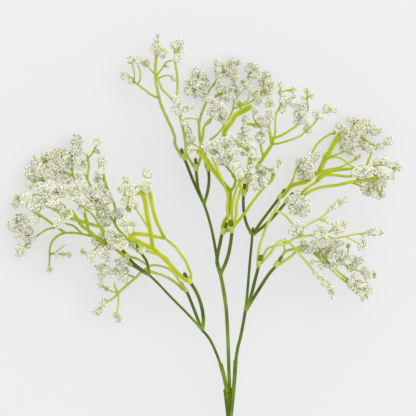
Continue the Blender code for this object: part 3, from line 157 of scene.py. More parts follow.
# SPRAYS: the branch and the number of its rod that the collar is pushed on, how far the sheet that the
# spray lies on rises and over what distance, the shade of its plastic, its arms (start radius, end radius,
# [(x, y), ...]), its heads and its single buds (x, y, radius[, tint]).
# Tints: b beige centre, y yellow centre, g green bud, c green centre, o orange-brown centre. A third number
# in an arm's point is how far the arm dips there below the sheet or rises above it.
SPRAYS = {
    "spray_left_low": dict(
        on=("branch_left", 3), rise=-11, reach=60, shade="pale",
        arms=[
            (1.0, 0.9, [(-33, 92), (-37, 93.5), (-44, 97), (-54, 100.5), (-60, 101.7), (-66, 96), (-72, 91),
                (-78, 85.5)]),
            (0.9, 0.8, [(-33.5, 93), (-38, 99), (-43, 103), (-49, 105), (-55, 105), (-60, 101.7)]),
            (0.9, 0.7, [(-56, 104.5), (-64, 109.5), (-71, 112)]),
            (0.8, 0.55, [(-78, 85.5), (-80, 89), (-81, 93)]),
            (0.8, 0.6, [(-78, 85.5), (-82, 81.5), (-86, 79), (-92.5, 72)]),
            (0.7, 0.6, [(-78, 85.5), (-78, 79), (-78.5, 74), (-80, 70)]),
            (0.6, 0.5, [(-78, 85.5), (-82, 86.5), (-86, 88), (-91, 91)]),
            (0.8, 0.6, [(-66, 96), (-70, 98), (-75, 98), (-82, 100), (-90, 101)]),
        ],
        heads={
            "head_left_low_a": [(-90, 103, 4.5), (-86, 101, 4), (-90, 98, 3)],
            "head_left_low_b": [(-80, 101, 2.8), (-75, 97, 4.5), (-73, 101.5, 3)],
            "head_left_low_c": [(-76, 107, 4), (-72.5, 110.5, 3.6)],
        },
        singles=[(-92.5, 72, 3.5, "o"), (-88, 79, 3.4), (-80, 70, 3), (-77.5, 66.8, 2.6), (-90.5, 91, 2.6),
            (-86.5, 88.5, 1.8, "g")],
    ),
    "spray_left_front": dict(
        on=("branch_left", 4), rise=23, reach=62, shade="yellow",
        arms=[
            (0.95, 0.9, [(-27.5, 96.5), (-27.2, 99.5), (-28, 103), (-30, 108), (-34, 114), (-38, 119),
                (-44.5, 124.5)]),
            (1.05, 1.55, [(-44.5, 124.5), (-50, 125.5), (-57, 127), (-67, 128)]),
            (1.0, 1.55, [(-44.5, 124.5), (-47, 129), (-50, 136), (-52, 142), (-54, 151.5), (-55.5, 158)]),
            (1.35, 1.85, [(-30, 96.5), (-36, 101), (-42, 107), (-48, 113), (-53, 117.5), (-60, 120.5),
                (-66, 124), (-69, 127)]),
            (1.0, 0.9, [(-30.5, 96.5), (-38, 104.5), (-45, 111.8), (-52, 114), (-58, 116)]),
            (1.4, 1.7, [(-53, 117.5), (-54, 126), (-55.5, 134), (-57, 142), (-58, 150), (-60, 156)]),
            (0.75, 0.55, [(-55.5, 132), (-58, 135), (-61, 140), (-64, 144.5), (-66, 149)]),
            (0.8, 0.6, [(-60, 156), (-64, 155), (-70, 156), (-72, 152)]),
        ],
        heads={
            "head_left_front_a": [(-73, 159, 4), (-68, 158, 4.5), (-62, 158, 3), (-71, 165, 2.6)],
            "head_left_front_b": [(-57, 157, 2.6), (-57, 163, 2.8), (-56.5, 169.5, 3.6)],
            "head_left_front_c": [(-72, 150, 3.2), (-67, 149, 3.2), (-69.5, 145, 2.4, "g")],
            "head_left_front_d": [(-72, 136, 4), (-70, 131, 3), (-66, 134, 2.4)],
        },
        singles=[(-60, 117, 3), (-67, 119.5, 2.4, "g"), (-75, 121, 4.5), (-64, 147.5, 1.8)],
    ),
    "spray_left_mid": dict(
        on=("branch_left", 5), rise=19, reach=55, shade="grass",
        arms=[
            (1.0, 0.9, [(-65, 120), (-70, 124), (-74, 127), (-77, 130), (-80, 135), (-83, 140), (-87, 147),
                (-92, 156)]),
            (0.9, 0.8, [(-80, 135), (-79, 142), (-80, 148), (-82, 153), (-86, 163), (-88, 172)]),
            (0.8, 0.7, [(-83, 140), (-88, 142), (-95, 146)]),
            (0.8, 0.7, [(-92, 156), (-97.5, 163), (-98.5, 168), (-97.5, 175), (-98, 180), (-95, 184),
                (-92, 190)]),
        ],
        heads={
            "head_left_mid_a": [(-99, 156, 4.5), (-93, 157, 4.6), (-87, 158, 4.2), (-97, 148, 4.2),
                (-91, 150, 4.6, "c"), (-85, 152, 4.4)],
            "head_left_mid_b": [(-88, 142, 5), (-86, 136, 4)],
            "head_left_mid_c": [(-88.5, 178, 3.5), (-90, 171, 3.6), (-92, 165.5, 3)],
        },
        singles=[(-77, 142, 4), (-91.5, 191.5, 3), (-101, 184, 2.2), (-91.5, 185, 2, "g"),
            (-104, 169, 3.6)],
    ),
    "spray_left_high": dict(
        on=("branch_left", 6), rise=16, reach=60, shade="grass",
        arms=[
            (1.5, 1.1, [(-74, 116.5), (-80, 118.5), (-87, 121.5), (-92, 125), (-98, 130), (-103, 134),
                (-106, 139), (-110, 144.5)]),
            (1.1, 1.2, [(-87, 121.5), (-88, 131), (-95, 134), (-103, 136.5), (-111, 139), (-118, 144)]),
            (0.8, 0.7, [(-87.5, 127), (-91, 135), (-95, 141), (-100, 145), (-106, 150), (-112, 156)]),
            (0.7, 0.6, [(-98, 130), (-98.5, 136), (-100, 143)]),
            (0.8, 0.7, [(-110, 144.5), (-117, 148), (-124, 151), (-128, 157)]),
            (0.8, 0.6, [(-87, 121.5), (-92, 118), (-97, 114), (-101, 115)]),
        ],
        heads={
            "head_left_high_a": [(-112, 157, 5.6, "b"), (-107, 154, 4), (-118, 158, 4.4), (-124, 160, 4.2),
                (-130, 160, 4), (-102.5, 151.5, 4), (-102, 145.5, 3.6)],
            "head_left_high_b": [(-128, 150, 5), (-122, 150, 4.4), (-118, 146, 4), (-135, 147, 4),
                (-140, 152, 5)],
            "head_left_high_c": [(-113, 142, 4.5, "c"), (-118, 136, 4.2)],
            "head_left_high_d": [(-88, 116, 4.5), (-86, 111.5, 3.8), (-94, 122, 2.6)],
            "head_left_high_e": [(-81, 120, 4.2), (-82.5, 126, 4.4), (-87.5, 124.5, 4.2),
                (-76.5, 123.5, 4, "c")],
        },
        singles=[(-101.5, 115, 3, "o"), (-96, 111.5, 3.5), (-135, 137, 3.5), (-103, 163, 3)],
    ),
    "spray_left_back": dict(
        on=("branch_left", 7), rise=-13, reach=62, shade="grass",
        arms=[
            (1.0, 0.8, [(-74, 109), (-75.5, 113), (-80, 116.5), (-87, 120.5), (-95, 125), (-108, 127.8),
                (-116, 128)]),
            (0.85, 0.6, [(-116, 128), (-121, 126), (-125, 122), (-126.8, 117), (-127, 111), (-127.3, 103)]),
            (0.6, 0.45, [(-127.1, 113.5), (-122, 113.2), (-113.3, 112.4)]),
            (0.55, 0.3, [(-127, 112), (-121, 115.5), (-115.5, 120)]),
            (0.9, 0.8, [(-116, 128), (-121, 131.5), (-126, 135), (-133, 140), (-140, 144), (-148, 151)]),
            (0.75, 0.6, [(-122, 132), (-128.5, 130.5), (-134, 127.2), (-138.5, 123.5), (-146, 118)]),
            (0.75, 0.6, [(-104, 127.5), (-110, 133), (-116, 135), (-120, 141), (-126, 154), (-132, 166)]),
            (0.9, 0.7, [(-98, 126.3), (-102, 140), (-106, 155), (-110, 168), (-112, 178), (-109, 190)]),
            (0.8, 0.7, [(-110, 168), (-118, 172), (-127, 178), (-136, 177)]),
            (0.8, 0.6, [(-133, 140), (-142, 136), (-151, 131)]),
        ],
        heads={
            "head_left_back_a": [(-141, 172, 4.2), (-137, 178, 4.4), (-132, 181, 4), (-134, 173, 4.6)],
            "head_left_back_b": [(-128, 182.5, 3.6), (-124, 184.5, 3.6), (-119.5, 185, 3.8, "y"),
                (-124, 175, 4.4), (-120, 168, 4.2), (-128, 170, 4.2), (-134, 167, 3.8), (-115, 166, 4),
                (-118.8, 176.3, 3.8)],
            "head_left_back_c": [(-108, 193, 4.5), (-110, 187, 3.8), (-106, 186, 3.4), (-115, 181.5, 4),
                (-112, 177, 3.8), (-107, 180, 3.6), (-102.5, 177.5, 3.4)],
            "head_left_back_d": [(-154, 133, 3.4), (-150, 128, 3.6), (-148, 137, 5), (-145, 133, 4),
                (-142, 129.5, 3.8)],
            "head_left_back_e": [(-143, 123.5, 2.8), (-139, 124, 3), (-142, 119, 2.6), (-147.5, 115, 4.4)],
            "head_left_back_f": [(-149, 152, 3.6, "c"), (-151.5, 148, 3.4)],
        },
        singles=[(-127.3, 102, 2.6, "o"), (-122, 113, 1.9), (-117.6, 113, 1.9), (-113.3, 112.4, 2, "o"),
            (-141.5, 163, 4)],
    ),
    "spray_mid_left": dict(
        on=("branch_middle", 2), rise=8, reach=50, shade="olive",
        arms=[
            (1.3, 1.4, [(-3.6, 132), (-3, 135.5), (-0.5, 141), (0.5, 148), (0.8, 157)]),
            (1.45, 1.85, [(0.8, 157), (-5, 164), (-11, 172), (-17, 180.5), (-22, 186)]),
            (1.0, 0.8, [(0.8, 157), (4, 162), (3.5, 168), (-2, 174.5), (-5, 182)]),
            (1.4, 1.9, [(3.6, 166.5), (1, 176), (-2, 188), (-3.5, 197.5), (-1, 202), (2, 206), (4.5, 210),
                (10, 213), (15.5, 216.5)]),
            (0.7, 0.5, [(7, 211.5), (9, 217.5), (13, 220.5), (15, 227)]),
            (1.1, 0.85, [(-2.6, 133), (2, 133), (6, 136), (10, 141), (15, 148), (21, 156), (25, 160.5),
                (28.5, 163.5), (31, 168), (33, 173)]),
        ],
        heads={
            "head_mid_left_a": [(-15, 188, 4.4), (-10.5, 184.5, 2.6, "g"), (-19, 184, 3.2)],
            "head_mid_left_b": [(-3.5, 190, 5), (-3, 184, 4), (-6, 178, 4), (-1, 178, 3.5), (-9, 189, 3)],
            "head_mid_left_c": [(20, 160, 3.5), (24, 164, 3.5), (21, 168, 3.5), (26, 168, 3.2),
                (22, 174, 2.8), (31.5, 172, 2.4), (28, 171, 2.6)],
        },
        singles=[(-27, 186, 3.2), (35, 177.5, 2.6, "b"), (6.5, 218.5, 2.2, "g")],
    ),
    "spray_mid_front": dict(
        on=("branch_middle", 3), rise=10, reach=60, shade="olive",
        arms=[
            (0.9, 0.7, [(0.6, 134.5), (-0.5, 139), (-1.5, 146), (-1, 154), (-4, 163), (-9, 174),
                (-12, 181)]),
            (1.0, 0.9, [(2, 134.5), (4, 140), (5, 148), (7.3, 156), (8, 160), (5, 168), (1, 174)]),
            (0.9, 0.8, [(1.3, 135), (1.5, 145), (3.5, 154), (6, 161), (9, 166), (13, 172), (15, 180)]),
        ],
        heads={
            "head_mid_front_a": [(4, 175, 4.2), (7, 169.5, 4), (9.5, 165.5, 3.2)],
            "head_mid_front_b": [(3, 186, 4.2), (2, 193, 4.2), (6.5, 190, 3)],
            "head_mid_front_c": [(14, 190, 3.4), (16, 184, 3.3), (16, 178, 3.4), (15.5, 172.5, 3.4),
                (16.3, 167, 3.2), (17, 162, 3.2)],
        },
        singles=[(12.3, 187, 1.8, "g"), (9.2, 183, 1.8, "g"), (19.5, 179.5, 2.2)],
    ),
    "spray_top_left": dict(
        on=("branch_middle", 4), rise=-16, reach=75, shade="dull",
        arms=[
            (1.1, 1.0, [(-34.3, 186), (-37, 190), (-38, 195), (-40, 201), (-43, 207.5), (-46, 214),
                (-48, 219), (-49.5, 225), (-51, 232), (-52, 240), (-51.5, 250), (-51.5, 257)]),
            (0.8, 0.6, [(-49.2, 223), (-55, 225.5), (-60, 229.5), (-66, 234), (-68.5, 237.5), (-73, 239)]),
            (0.6, 0.5, [(-64.5, 232.8), (-62.7, 236), (-62.5, 241), (-64.5, 248)]),
            (0.7, 0.55, [(-52, 238), (-48, 243), (-44, 248.5), (-39, 250)]),
            (0.7, 0.55, [(-51.8, 236), (-45, 239), (-40, 238.5)]),
            (0.6, 0.5, [(-52, 240), (-55, 243), (-58.5, 247)]),
            (0.55, 0.5, [(-67, 235.2), (-66.6, 240), (-68.5, 248.5)]),
            (0.8, 0.6, [(-35.5, 187.5), (-31, 190), (-27, 192)]),
        ],
        heads={
            "head_top_left_a": [(-51.5, 257.5, 4.2, "b"), (-47, 253.5, 2.8), (-45, 256, 2.2)],
            "head_top_left_b": [(-69, 250.5, 3.2), (-64.5, 249.5, 3.2)],
        },
        singles=[(-73, 239, 3.5), (-69, 234.5, 1.9), (-58.5, 248, 3.2, "o"), (-43, 245, 1.4),
            (-39, 236.5, 1.9), (-50.8, 263.6, 2), (-50, 267.5, 1.5), (-27, 193, 2.6)],
    ),
    "spray_top_mid": dict(
        on=("branch_middle", 5), rise=10, reach=70, shade="dull",
        arms=[
            (1.0, 0.9, [(-24.5, 177), (-28, 181), (-30, 186), (-30.5, 192), (-32, 200), (-34.5, 210),
                (-36.5, 218), (-36, 226), (-36, 237), (-37.5, 246), (-38, 254)]),
            (0.9, 0.8, [(-36.5, 218), (-42, 223.5), (-47, 229), (-50, 237)]),
            (1.1, 0.9, [(-22.5, 177.5), (-20.5, 181), (-20.5, 186), (-18.5, 195), (-17, 203), (-11, 209),
                (-6, 213)]),
            (0.6, 0.5, [(-30, 189), (-25, 190), (-21.5, 188)]),
            (0.6, 0.5, [(-33.3, 206), (-29, 208), (-21, 207.5)]),
            (0.7, 0.6, [(-17, 203), (-13, 206), (-12, 213), (-10, 218)]),
        ],
        heads={
            "head_top_mid_a": [(-36.5, 214, 3.8), (-36.5, 220, 3.6)],
            "head_top_mid_b": [(-38, 259, 3.2), (-34.3, 261, 3.1), (-34, 255.5, 3), (-36, 250, 3.2)],
            "head_top_mid_c": [(-30.5, 214.5, 2.4), (-26.5, 216.5, 2.8)],
            "head_top_mid_d": [(-31, 205, 2.6), (-28.5, 201, 2.8), (-28, 197, 2.6), (-25.5, 194, 2.4)],
            "head_top_mid_e": [(-10, 217, 3.6, "b"), (-12.5, 221, 2.8), (-6, 216, 3.2), (-3, 212, 3.2),
                (-13, 212.5, 3.2), (-9.5, 210.5, 3), (-6, 208.5, 3), (-3.5, 205.5, 2.4)],
        },
        singles=[(-21, 206, 1.6, "g")],
    ),
    "spray_top_back": dict(
        on=("branch_middle", 6), rise=-12, reach=60, shade="grass",
        arms=[
            (1.0, 0.9, [(-15, 179.5), (-17, 186), (-20, 192), (-21, 203), (-20, 210), (-17.5, 217),
                (-16, 220)]),
            (0.7, 0.6, [(-16, 220), (-18, 226), (-21, 233), (-22, 239)]),
            (0.65, 0.55, [(-16, 220), (-14.5, 228), (-9, 236), (-8.3, 246)]),
            (0.65, 0.55, [(-16, 220), (-10, 224), (-5, 227), (0, 227)]),
            (0.7, 0.6, [(-19, 190), (-9, 197), (-2, 206), (3, 216), (4, 228), (4, 238)]),
            (0.65, 0.55, [(3.5, 222), (8, 228), (12, 232), (14, 240), (16.5, 246)]),
            (0.65, 0.55, [(3, 216), (12, 219), (20, 224), (26, 231), (27, 238)]),
            (0.5, 0.45, [(-9, 234), (-4, 243), (2, 249)]),
        ],
        heads={
            "head_top_back_a": [(-23.5, 242, 3.2), (-18, 240, 3.1), (-27, 235, 4), (-22, 234, 5),
                (-17, 234, 3.6), (-29, 228.5, 3.5), (-24, 227, 3.2), (-19, 227, 4), (-16, 222.5, 3)],
            "head_top_back_b": [(-8, 248.5, 2.6), (-8.5, 243.5, 2.8), (-7, 238.5, 2.8), (-6.5, 233.5, 2.8),
                (-8, 229.5, 2.6)],
            "head_top_back_c": [(-3, 246.5, 3, "y"), (2, 250, 2.6), (6.5, 249, 2.4), (3, 245.5, 2.4)],
            "head_top_back_d": [(3.5, 238.5, 3.6, "b"), (5.5, 243, 2.4)],
            "head_top_back_e": [(-2, 228.5, 3.6), (0.5, 224.5, 3.6), (3.5, 230, 3.6), (-4, 223, 3.2),
                (5, 226, 3), (8.5, 229, 2.6)],
            "head_top_back_f": [(14, 244.5, 3), (17, 247, 2.9), (20, 244, 2.3), (17.5, 239.5, 2.6)],
            "head_top_back_g": [(13, 233.5, 3.2), (16, 230, 3.2), (20, 226, 3.6), (21, 221.5, 3, "b")],
            "head_top_back_h": [(27, 240, 3.2), (28, 236, 3), (27, 231.5, 3.6), (30.5, 233, 2.6),
                (23.5, 234.5, 2.6), (22, 238, 2.6), (28, 227, 3)],
        },
        singles=[(10, 235, 1.6, "g"), (16, 241, 1.6, "g"), (-1.5, 241, 2.6)],
    ),
    "spray_right_mid": dict(
        on=("branch_right", 5), rise=9, reach=70, shade="olive",
        arms=[
            (1.3, 1.3, [(11.5, 161), (14, 166), (18, 172), (22, 178), (26, 184), (30, 190)]),
            (1.1, 0.9, [(30, 190), (28.5, 197), (27.5, 204), (28, 212), (28.5, 221)]),
            (0.75, 0.6, [(29.3, 193.5), (32, 197), (32.5, 210), (36, 218), (35.5, 226), (36, 231)]),
            (0.9, 0.8, [(30, 190), (31.5, 194), (36, 196), (42, 199.5), (47, 203), (50, 208)]),
            (0.75, 0.65, [(30, 190), (36, 191), (44, 193.5), (50, 196), (54, 200)]),
            (0.6, 0.5, [(35.6, 226), (40, 227.5), (45, 228.5)]),
            (0.6, 0.5, [(50, 208), (54.8, 214), (54.5, 220), (54, 227)]),
            (0.65, 0.55, [(54, 200), (58, 203), (61, 207), (65, 211), (69, 214)]),
            (0.8, 0.7, [(24, 181), (22, 190), (23, 198), (20, 203), (12, 205)]),
        ],
        heads={
            "head_right_mid_a": [(12, 207, 3.2), (11, 201, 3.2), (9.5, 195.5, 3.2)],
            "head_right_mid_b": [(22, 207, 3.2), (26, 206, 3), (19, 203, 2.4), (25, 200, 3), (22, 195, 4)],
            "head_right_mid_c": [(28, 207.5, 3), (28, 212.5, 3), (28, 217.5, 3.1), (28.5, 222.5, 3)],
            "head_right_mid_d": [(38, 220.5, 3.6), (42.3, 219, 3), (37, 215, 3.2)],
            "head_right_mid_e": [(47, 216, 2.8), (51, 216.5, 3), (47, 211, 3), (51.5, 211.5, 2.8),
                (48, 206, 3.5), (52.5, 206, 3)],
            "head_right_mid_f": [(60, 211, 2.6), (64, 210, 2.8), (68, 214.5, 3.2), (73, 213.5, 2.3)],
        },
        singles=[(36, 231, 2.1), (46, 229, 2.1), (54, 227.5, 2.2, "y"), (57.5, 223.5, 2), (51.5, 222, 1.6),
            (45, 223.3, 2), (55, 200.5, 3.2), (18, 213.5, 2.6), (35.5, 226, 1.7, "g")],
    ),
    "spray_right_back": dict(
        on=("branch_right", 6), rise=-19, reach=80, shade="olive",
        arms=[
            (1.4, 1.8, [(38, 157), (42, 160), (46, 162), (55, 164.5), (59, 168.5), (64, 171)]),
            (1.7, 1.9, [(64, 171), (67, 178), (71, 185), (75.5, 193), (80, 199)]),
            (0.8, 0.7, [(39.5, 158.5), (44, 165), (47, 172), (49.5, 176), (54, 178)]),
            (0.8, 0.7, [(55, 164.5), (57, 174), (58.5, 183.5), (62, 190), (67, 195), (73, 198.5)]),
            (0.8, 0.7, [(75.5, 193), (83, 195), (91, 199), (99, 201), (106, 200)]),
            (0.8, 0.6, [(83, 195), (88, 203), (92, 207)]),
            (0.7, 0.6, [(91, 199), (97, 194), (104, 190), (112, 192.5)]),
            (0.7, 0.6, [(69, 181), (78, 184), (86, 187), (94, 190)]),
            (0.7, 0.6, [(64, 171), (71, 173), (79, 174.5), (85, 177.5), (90, 180)]),
        ],
        heads={
            "head_right_back_a": [(50, 178, 3), (55, 177, 5), (52, 172, 4.4), (58.5, 180, 4),
                (61.5, 183, 3), (56.5, 169.5, 3.6), (51, 167.5, 3)],
            "head_right_back_b": [(78, 204, 2.6), (82, 199, 4, "c"), (81, 193.5, 4), (85.5, 191, 3.2)],
            "head_right_back_c": [(86.5, 208.5, 2.8), (92, 206.5, 2.8), (97, 206.5, 3.5), (92, 201, 4, "y"),
                (96, 200, 3.2), (90, 196, 3), (95, 194, 3.5), (100.5, 202, 3)],
            "head_right_back_d": [(103.5, 199.5, 3), (107.5, 200, 2.2)],
            "head_right_back_e": [(113.5, 193, 3.2), (108, 189, 2.6), (104, 189, 3), (100, 187.5, 2.8)],
            "head_right_back_f": [(84, 186, 2.6, "o"), (88, 184.5, 2.6, "o"), (91.5, 182, 2.6, "o"),
                (88, 190, 3)],
        },
        singles=[(74.7, 199, 1.5, "g"), (95.5, 188, 1.6, "g"), (80, 188.5, 1.5, "g")],
    ),
    "spray_right_front": dict(
        on=("branch_right", 7), rise=10, reach=60, shade="olive",
        arms=[
            (1.0, 0.9, [(43, 155.5), (50, 156.5), (55, 160), (61, 164), (67, 168.3), (75, 168.3),
                (82.5, 167.5), (92, 168.5)]),
            (0.95, 1.15, [(44, 154.5), (51.5, 155), (58, 158), (66, 160.5), (75, 161.5), (84, 163.5),
                (92, 164.5), (102, 166.5)]),
            (1.4, 0.75, [(61, 164), (65, 169), (75, 172), (88, 173), (94.5, 174), (97, 179), (99, 184)]),
            (0.8, 0.7, [(63, 166), (65, 174), (66, 182), (71, 185.3)]),
            (0.7, 0.6, [(65, 178), (72, 181), (78, 180), (83, 176), (88, 173)]),
            (0.9, 0.8, [(43, 155), (44, 150), (48, 147)]),
            (0.75, 0.6, [(88, 173), (100, 175), (109, 175.5), (116, 174)]),
            (0.7, 0.6, [(84, 163.5, 0), (90, 161.5, -4), (98, 157, -9.5), (104, 155, -10)]),
        ],
        heads={
            "head_right_front_a": [(46, 151.5, 4.4), (51, 149, 5), (45.5, 145, 4.5), (52, 143.5, 4.5),
                (48.5, 155.5, 3)],
            "head_right_front_b": [(92, 172, 4.5), (97, 171.5, 4), (92.5, 166, 4), (88, 170, 3.2),
                (101.5, 171, 3.2), (105.5, 170, 3), (104, 166, 2.8), (108.5, 167, 2.3), (113, 167, 2.6)],
            "head_right_front_c": [(108, 178, 3), (111.5, 175.5, 2.8), (115.5, 174.5, 3.2),
                (118.5, 173.5, 2.8), (102.5, 177.5, 2.7)],
            "head_right_front_d": [(99, 162.5, 3.1), (104, 162.5, 2.8), (108, 162.5, 2.6), (94, 160, 3.1),
                (96, 156.5, 3), (101, 156, 3.1), (104.5, 154, 3.2), (107.5, 155.5, 2.2)],
        },
        singles=[(98.5, 187, 1.8), (103, 158.5, 1.5, "g")],
    ),
    "spray_right_pale": dict(
        on=("branch_right", 3), rise=8, reach=60, shade="pale",
        arms=[
            (0.95, 0.8, [(21, 110.5), (21, 116), (23, 125), (26, 133), (30, 141), (33, 146), (35, 151)]),
            (0.8, 0.7, [(31, 143), (34.2, 143.2), (38.4, 140.8), (42, 137), (46, 132)]),
            (0.9, 0.75, [(22.5, 112.5), (26, 117), (33, 119.5), (40, 121), (45, 124.5), (52, 126),
                (60, 127), (66, 128), (74, 131)]),
            (0.9, 0.7, [(23, 111), (28, 114.5), (33, 121), (37, 123), (41, 122), (46, 117), (52, 110),
                (57, 104), (61, 99), (66, 94), (71, 87.5)]),
            (0.7, 0.55, [(47, 125), (52, 132), (58, 136), (63, 138.5), (67.5, 142), (71, 145), (77, 149)]),
            (0.6, 0.45, [(63, 138.3), (66.5, 136.6), (69, 134.3)]),
            (0.5, 0.3, [(65, 137.5), (69.5, 140)]),
            (0.65, 0.55, [(66, 128), (72, 124.5), (80, 125.8), (88, 127.5), (95, 128.3), (103, 128.5)]),
            (0.6, 0.5, [(80, 125.8), (88, 122), (92, 119)]),
        ],
        heads={
            "head_right_pale_a": [(47, 132, 4.2), (43.5, 130, 3.6), (49, 129, 3.2)],
            "head_right_pale_b": [(62, 127, 4), (66, 127.5, 3), (67, 123, 3), (63.5, 122, 3.2),
                (63, 132.5, 2.7)],
            "head_right_pale_c": [(74, 133.5, 3.5), (75.5, 130, 3.5, "y"), (79.5, 134, 2.8),
                (78.5, 130.8, 2.4)],
            "head_right_pale_d": [(70, 145, 2.3), (73.3, 147, 2.6), (77, 149.5, 2.9), (80.3, 151, 2.2)],
            "head_right_pale_e": [(66, 94, 3), (69, 91.8, 3, "b"), (71, 87.5, 3.2), (72.3, 84.5, 2.5),
                (62.8, 97.3, 2.2)],
        },
        singles=[(96.7, 128.5, 2), (100.3, 129, 3.4), (104.5, 128.5, 2.8, "c"), (92, 119, 3.2),
            (93, 124, 1.6), (59.8, 101, 1.8)],
    ),
    "spray_right_low": dict(
        on=("branch_right", 4), rise=-15, reach=60, shade="pale",
        arms=[
            (1.0, 0.85, [(36, 109.5, 0), (37, 112, 0), (40, 115.5, 0), (47, 117.3, -3), (51, 118.5, -8),
                (60, 117, -11), (70, 116, -11), (76, 118.5, -4)]),
            (1.0, 0.85, [(37, 109.5, 0), (43, 112.5, 0), (48, 115.5, -4), (56, 114.5, -9), (65, 111.5, -5),
                (72, 105, 0), (80, 98, 0), (84, 95.5, 0)]),
            (0.7, 0.6, [(39, 115), (38.5, 118.5), (39, 122)]),
            (0.75, 0.6, [(60, 113.5, -7), (70, 104, -1), (77, 97.5, 0), (83, 92.5, 0)]),
            (0.75, 0.6, [(66, 111), (76, 109), (82, 105.5), (85, 103), (91, 101.5), (97, 100)]),
            (0.75, 0.6, [(68, 116), (74, 113.5), (84, 111), (92, 109)]),
            (0.7, 0.6, [(82, 96), (88, 90), (94, 85)]),
            (0.7, 0.6, [(83, 96), (90, 94), (96, 90.5)]),
        ],
        heads={
            "head_right_low_a": [(53, 117.5, 3.4), (57, 117, 4), (62, 117, 4.2), (66, 114.5, 4.2),
                (70, 115, 4), (52, 121.5, 2.5), (59.5, 121, 2.8)],
            "head_right_low_b": [(72, 121, 3.1), (76, 121, 2.7), (79, 121, 2.2), (74, 117, 3.1)],
            "head_right_low_c": [(72, 111.5, 3.6), (77, 114, 3.5), (80.5, 112.5, 3.1), (84.3, 111, 2.7),
                (88, 110.3, 2.5), (92, 109, 3), (89.5, 106.5, 2.6)],
            "head_right_low_d": [(77, 107.5, 3.5), (74, 105.5, 3.5), (69, 105.5, 2.8), (64.5, 104.5, 2.3)],
            "head_right_low_e": [(85, 103.5, 3), (88, 105, 3)],
            "head_right_low_f": [(95, 101.5, 3), (97.5, 98.5, 3.5), (101.3, 98.5, 2.8, "g")],
            "head_right_low_g": [(88, 97, 3.1), (85.5, 94.7, 2.8), (90, 94, 3.1), (92.5, 91.5, 3.5),
                (95.5, 90.5, 3.5), (98, 88.5, 2.9), (85, 91, 2.7), (88.5, 88.5, 3.2), (92.5, 86.3, 2.8),
                (95, 83, 3.1)],
        },
        singles=[(39, 122, 1.6, "g"), (58, 107.5, 2), (84, 119, 1.8, "g")],
    ),
}
# Heads that sit in front of or behind their spray's sheet, in millimetres.
LIFTS = {
    "head_left_low_c": 8.0, "head_mid_left_b": 4.5, "head_top_back_b": 6.0, "head_right_pale_b": 5.0,
    "head_right_low_a": -9.0, "head_right_low_c": 8.0, "head_right_low_g": 7.5, "head_right_front_d": -9.5,
}

print("branches", len(BRANCHES), "sprays", len(SPRAYS))

# %% [markdown]
# ## Helpers for paths
# A moulded twig bends smoothly, but the layout has only a few points on it. A Catmull-Rom curve passes
# through every point with a smooth bend, and it is one formula that numpy evaluates for all samples at once.

# %% Smooth path and sheet height
# The buds of a head take these heights above the sheet in turn, as shares of their radius.
DEPTHS = (0.1, 0.75, -0.7, 0.45, -0.4, 0.9, -0.9)
# A collar: how far its top is from the end of the branch, its length and its wall, in millimetres.
COLLAR_TOP = 4.2
COLLAR_LENGTH = 5.0
COLLAR_WALL = 0.6
# A head with at least this many buds has a CAD node of its own.
OWN_NODE = 5


def unit(v):
    """Each vector divided by its own length."""
    return v / np.maximum(np.linalg.norm(v, axis=-1, keepdims=True), 1e-9)


def smooth_path(points, step):
    """Catmull-Rom curve: a cubic in t on each span, made from the span's ends and their neighbours."""
    p = np.asarray(points, float)
    ghosts = np.vstack([2 * p[0] - p[1], p, 2 * p[-1] - p[-2]])
    spans = np.linalg.norm(np.diff(p, axis=0), axis=1)
    counts = np.maximum(np.ceil(spans / step).astype(int), 2)
    which = np.repeat(np.arange(len(spans)), counts)
    t = np.concatenate([np.arange(n) / n for n in counts])[:, None]
    a, b, c, d = (ghosts[which + k] for k in range(4))
    curve = 0.5 * (2 * b + (c - a) * t + (2 * a - 5 * b + 4 * c - d) * t ** 2
                   + (3 * b - a - 3 * c + d) * t ** 3)
    return np.vstack([curve, p[-1:]])


def sheet_height(spray, xy):
    """Height of a spray's sheet: the collar's, plus rise*t*t*(3-2t), where t is distance over reach."""
    xy = np.atleast_2d(np.asarray(xy, float))
    t = np.minimum(np.hypot(xy[:, 0] - spray["tip"][0], xy[:, 1] - spray["tip"][1]) / spray["reach"], 1.0)
    return spray["tip"][2] + spray["rise"] * t * t * (3.0 - 2.0 * t)


def point_from_end(points, length):
    """The point, and the direction of travel, at a given length before the end of a polyline."""
    p = np.asarray(points, float)[::-1]
    spans = np.linalg.norm(np.diff(p, axis=0), axis=1)
    far = np.concatenate([[0.0], np.cumsum(spans)])
    k = min(int(np.searchsorted(far, length, "right")) - 1, len(spans) - 1)
    t = (length - far[k]) / spans[k]
    return p[k] + (p[k + 1] - p[k]) * t, unit(p[k] - p[k + 1])


print("points on a sample arm:", len(smooth_path(BRANCHES["branch_left"][2][2], 1.2)))

# %% [markdown]
# ## Helpers for meshes
# Every piece is a bag of small closed shells: rods, collars, leaves, cores and granules. A `Shells` bag
# keeps their points and triangles as arrays, with one colour for each point, and makes one mesh at the end.

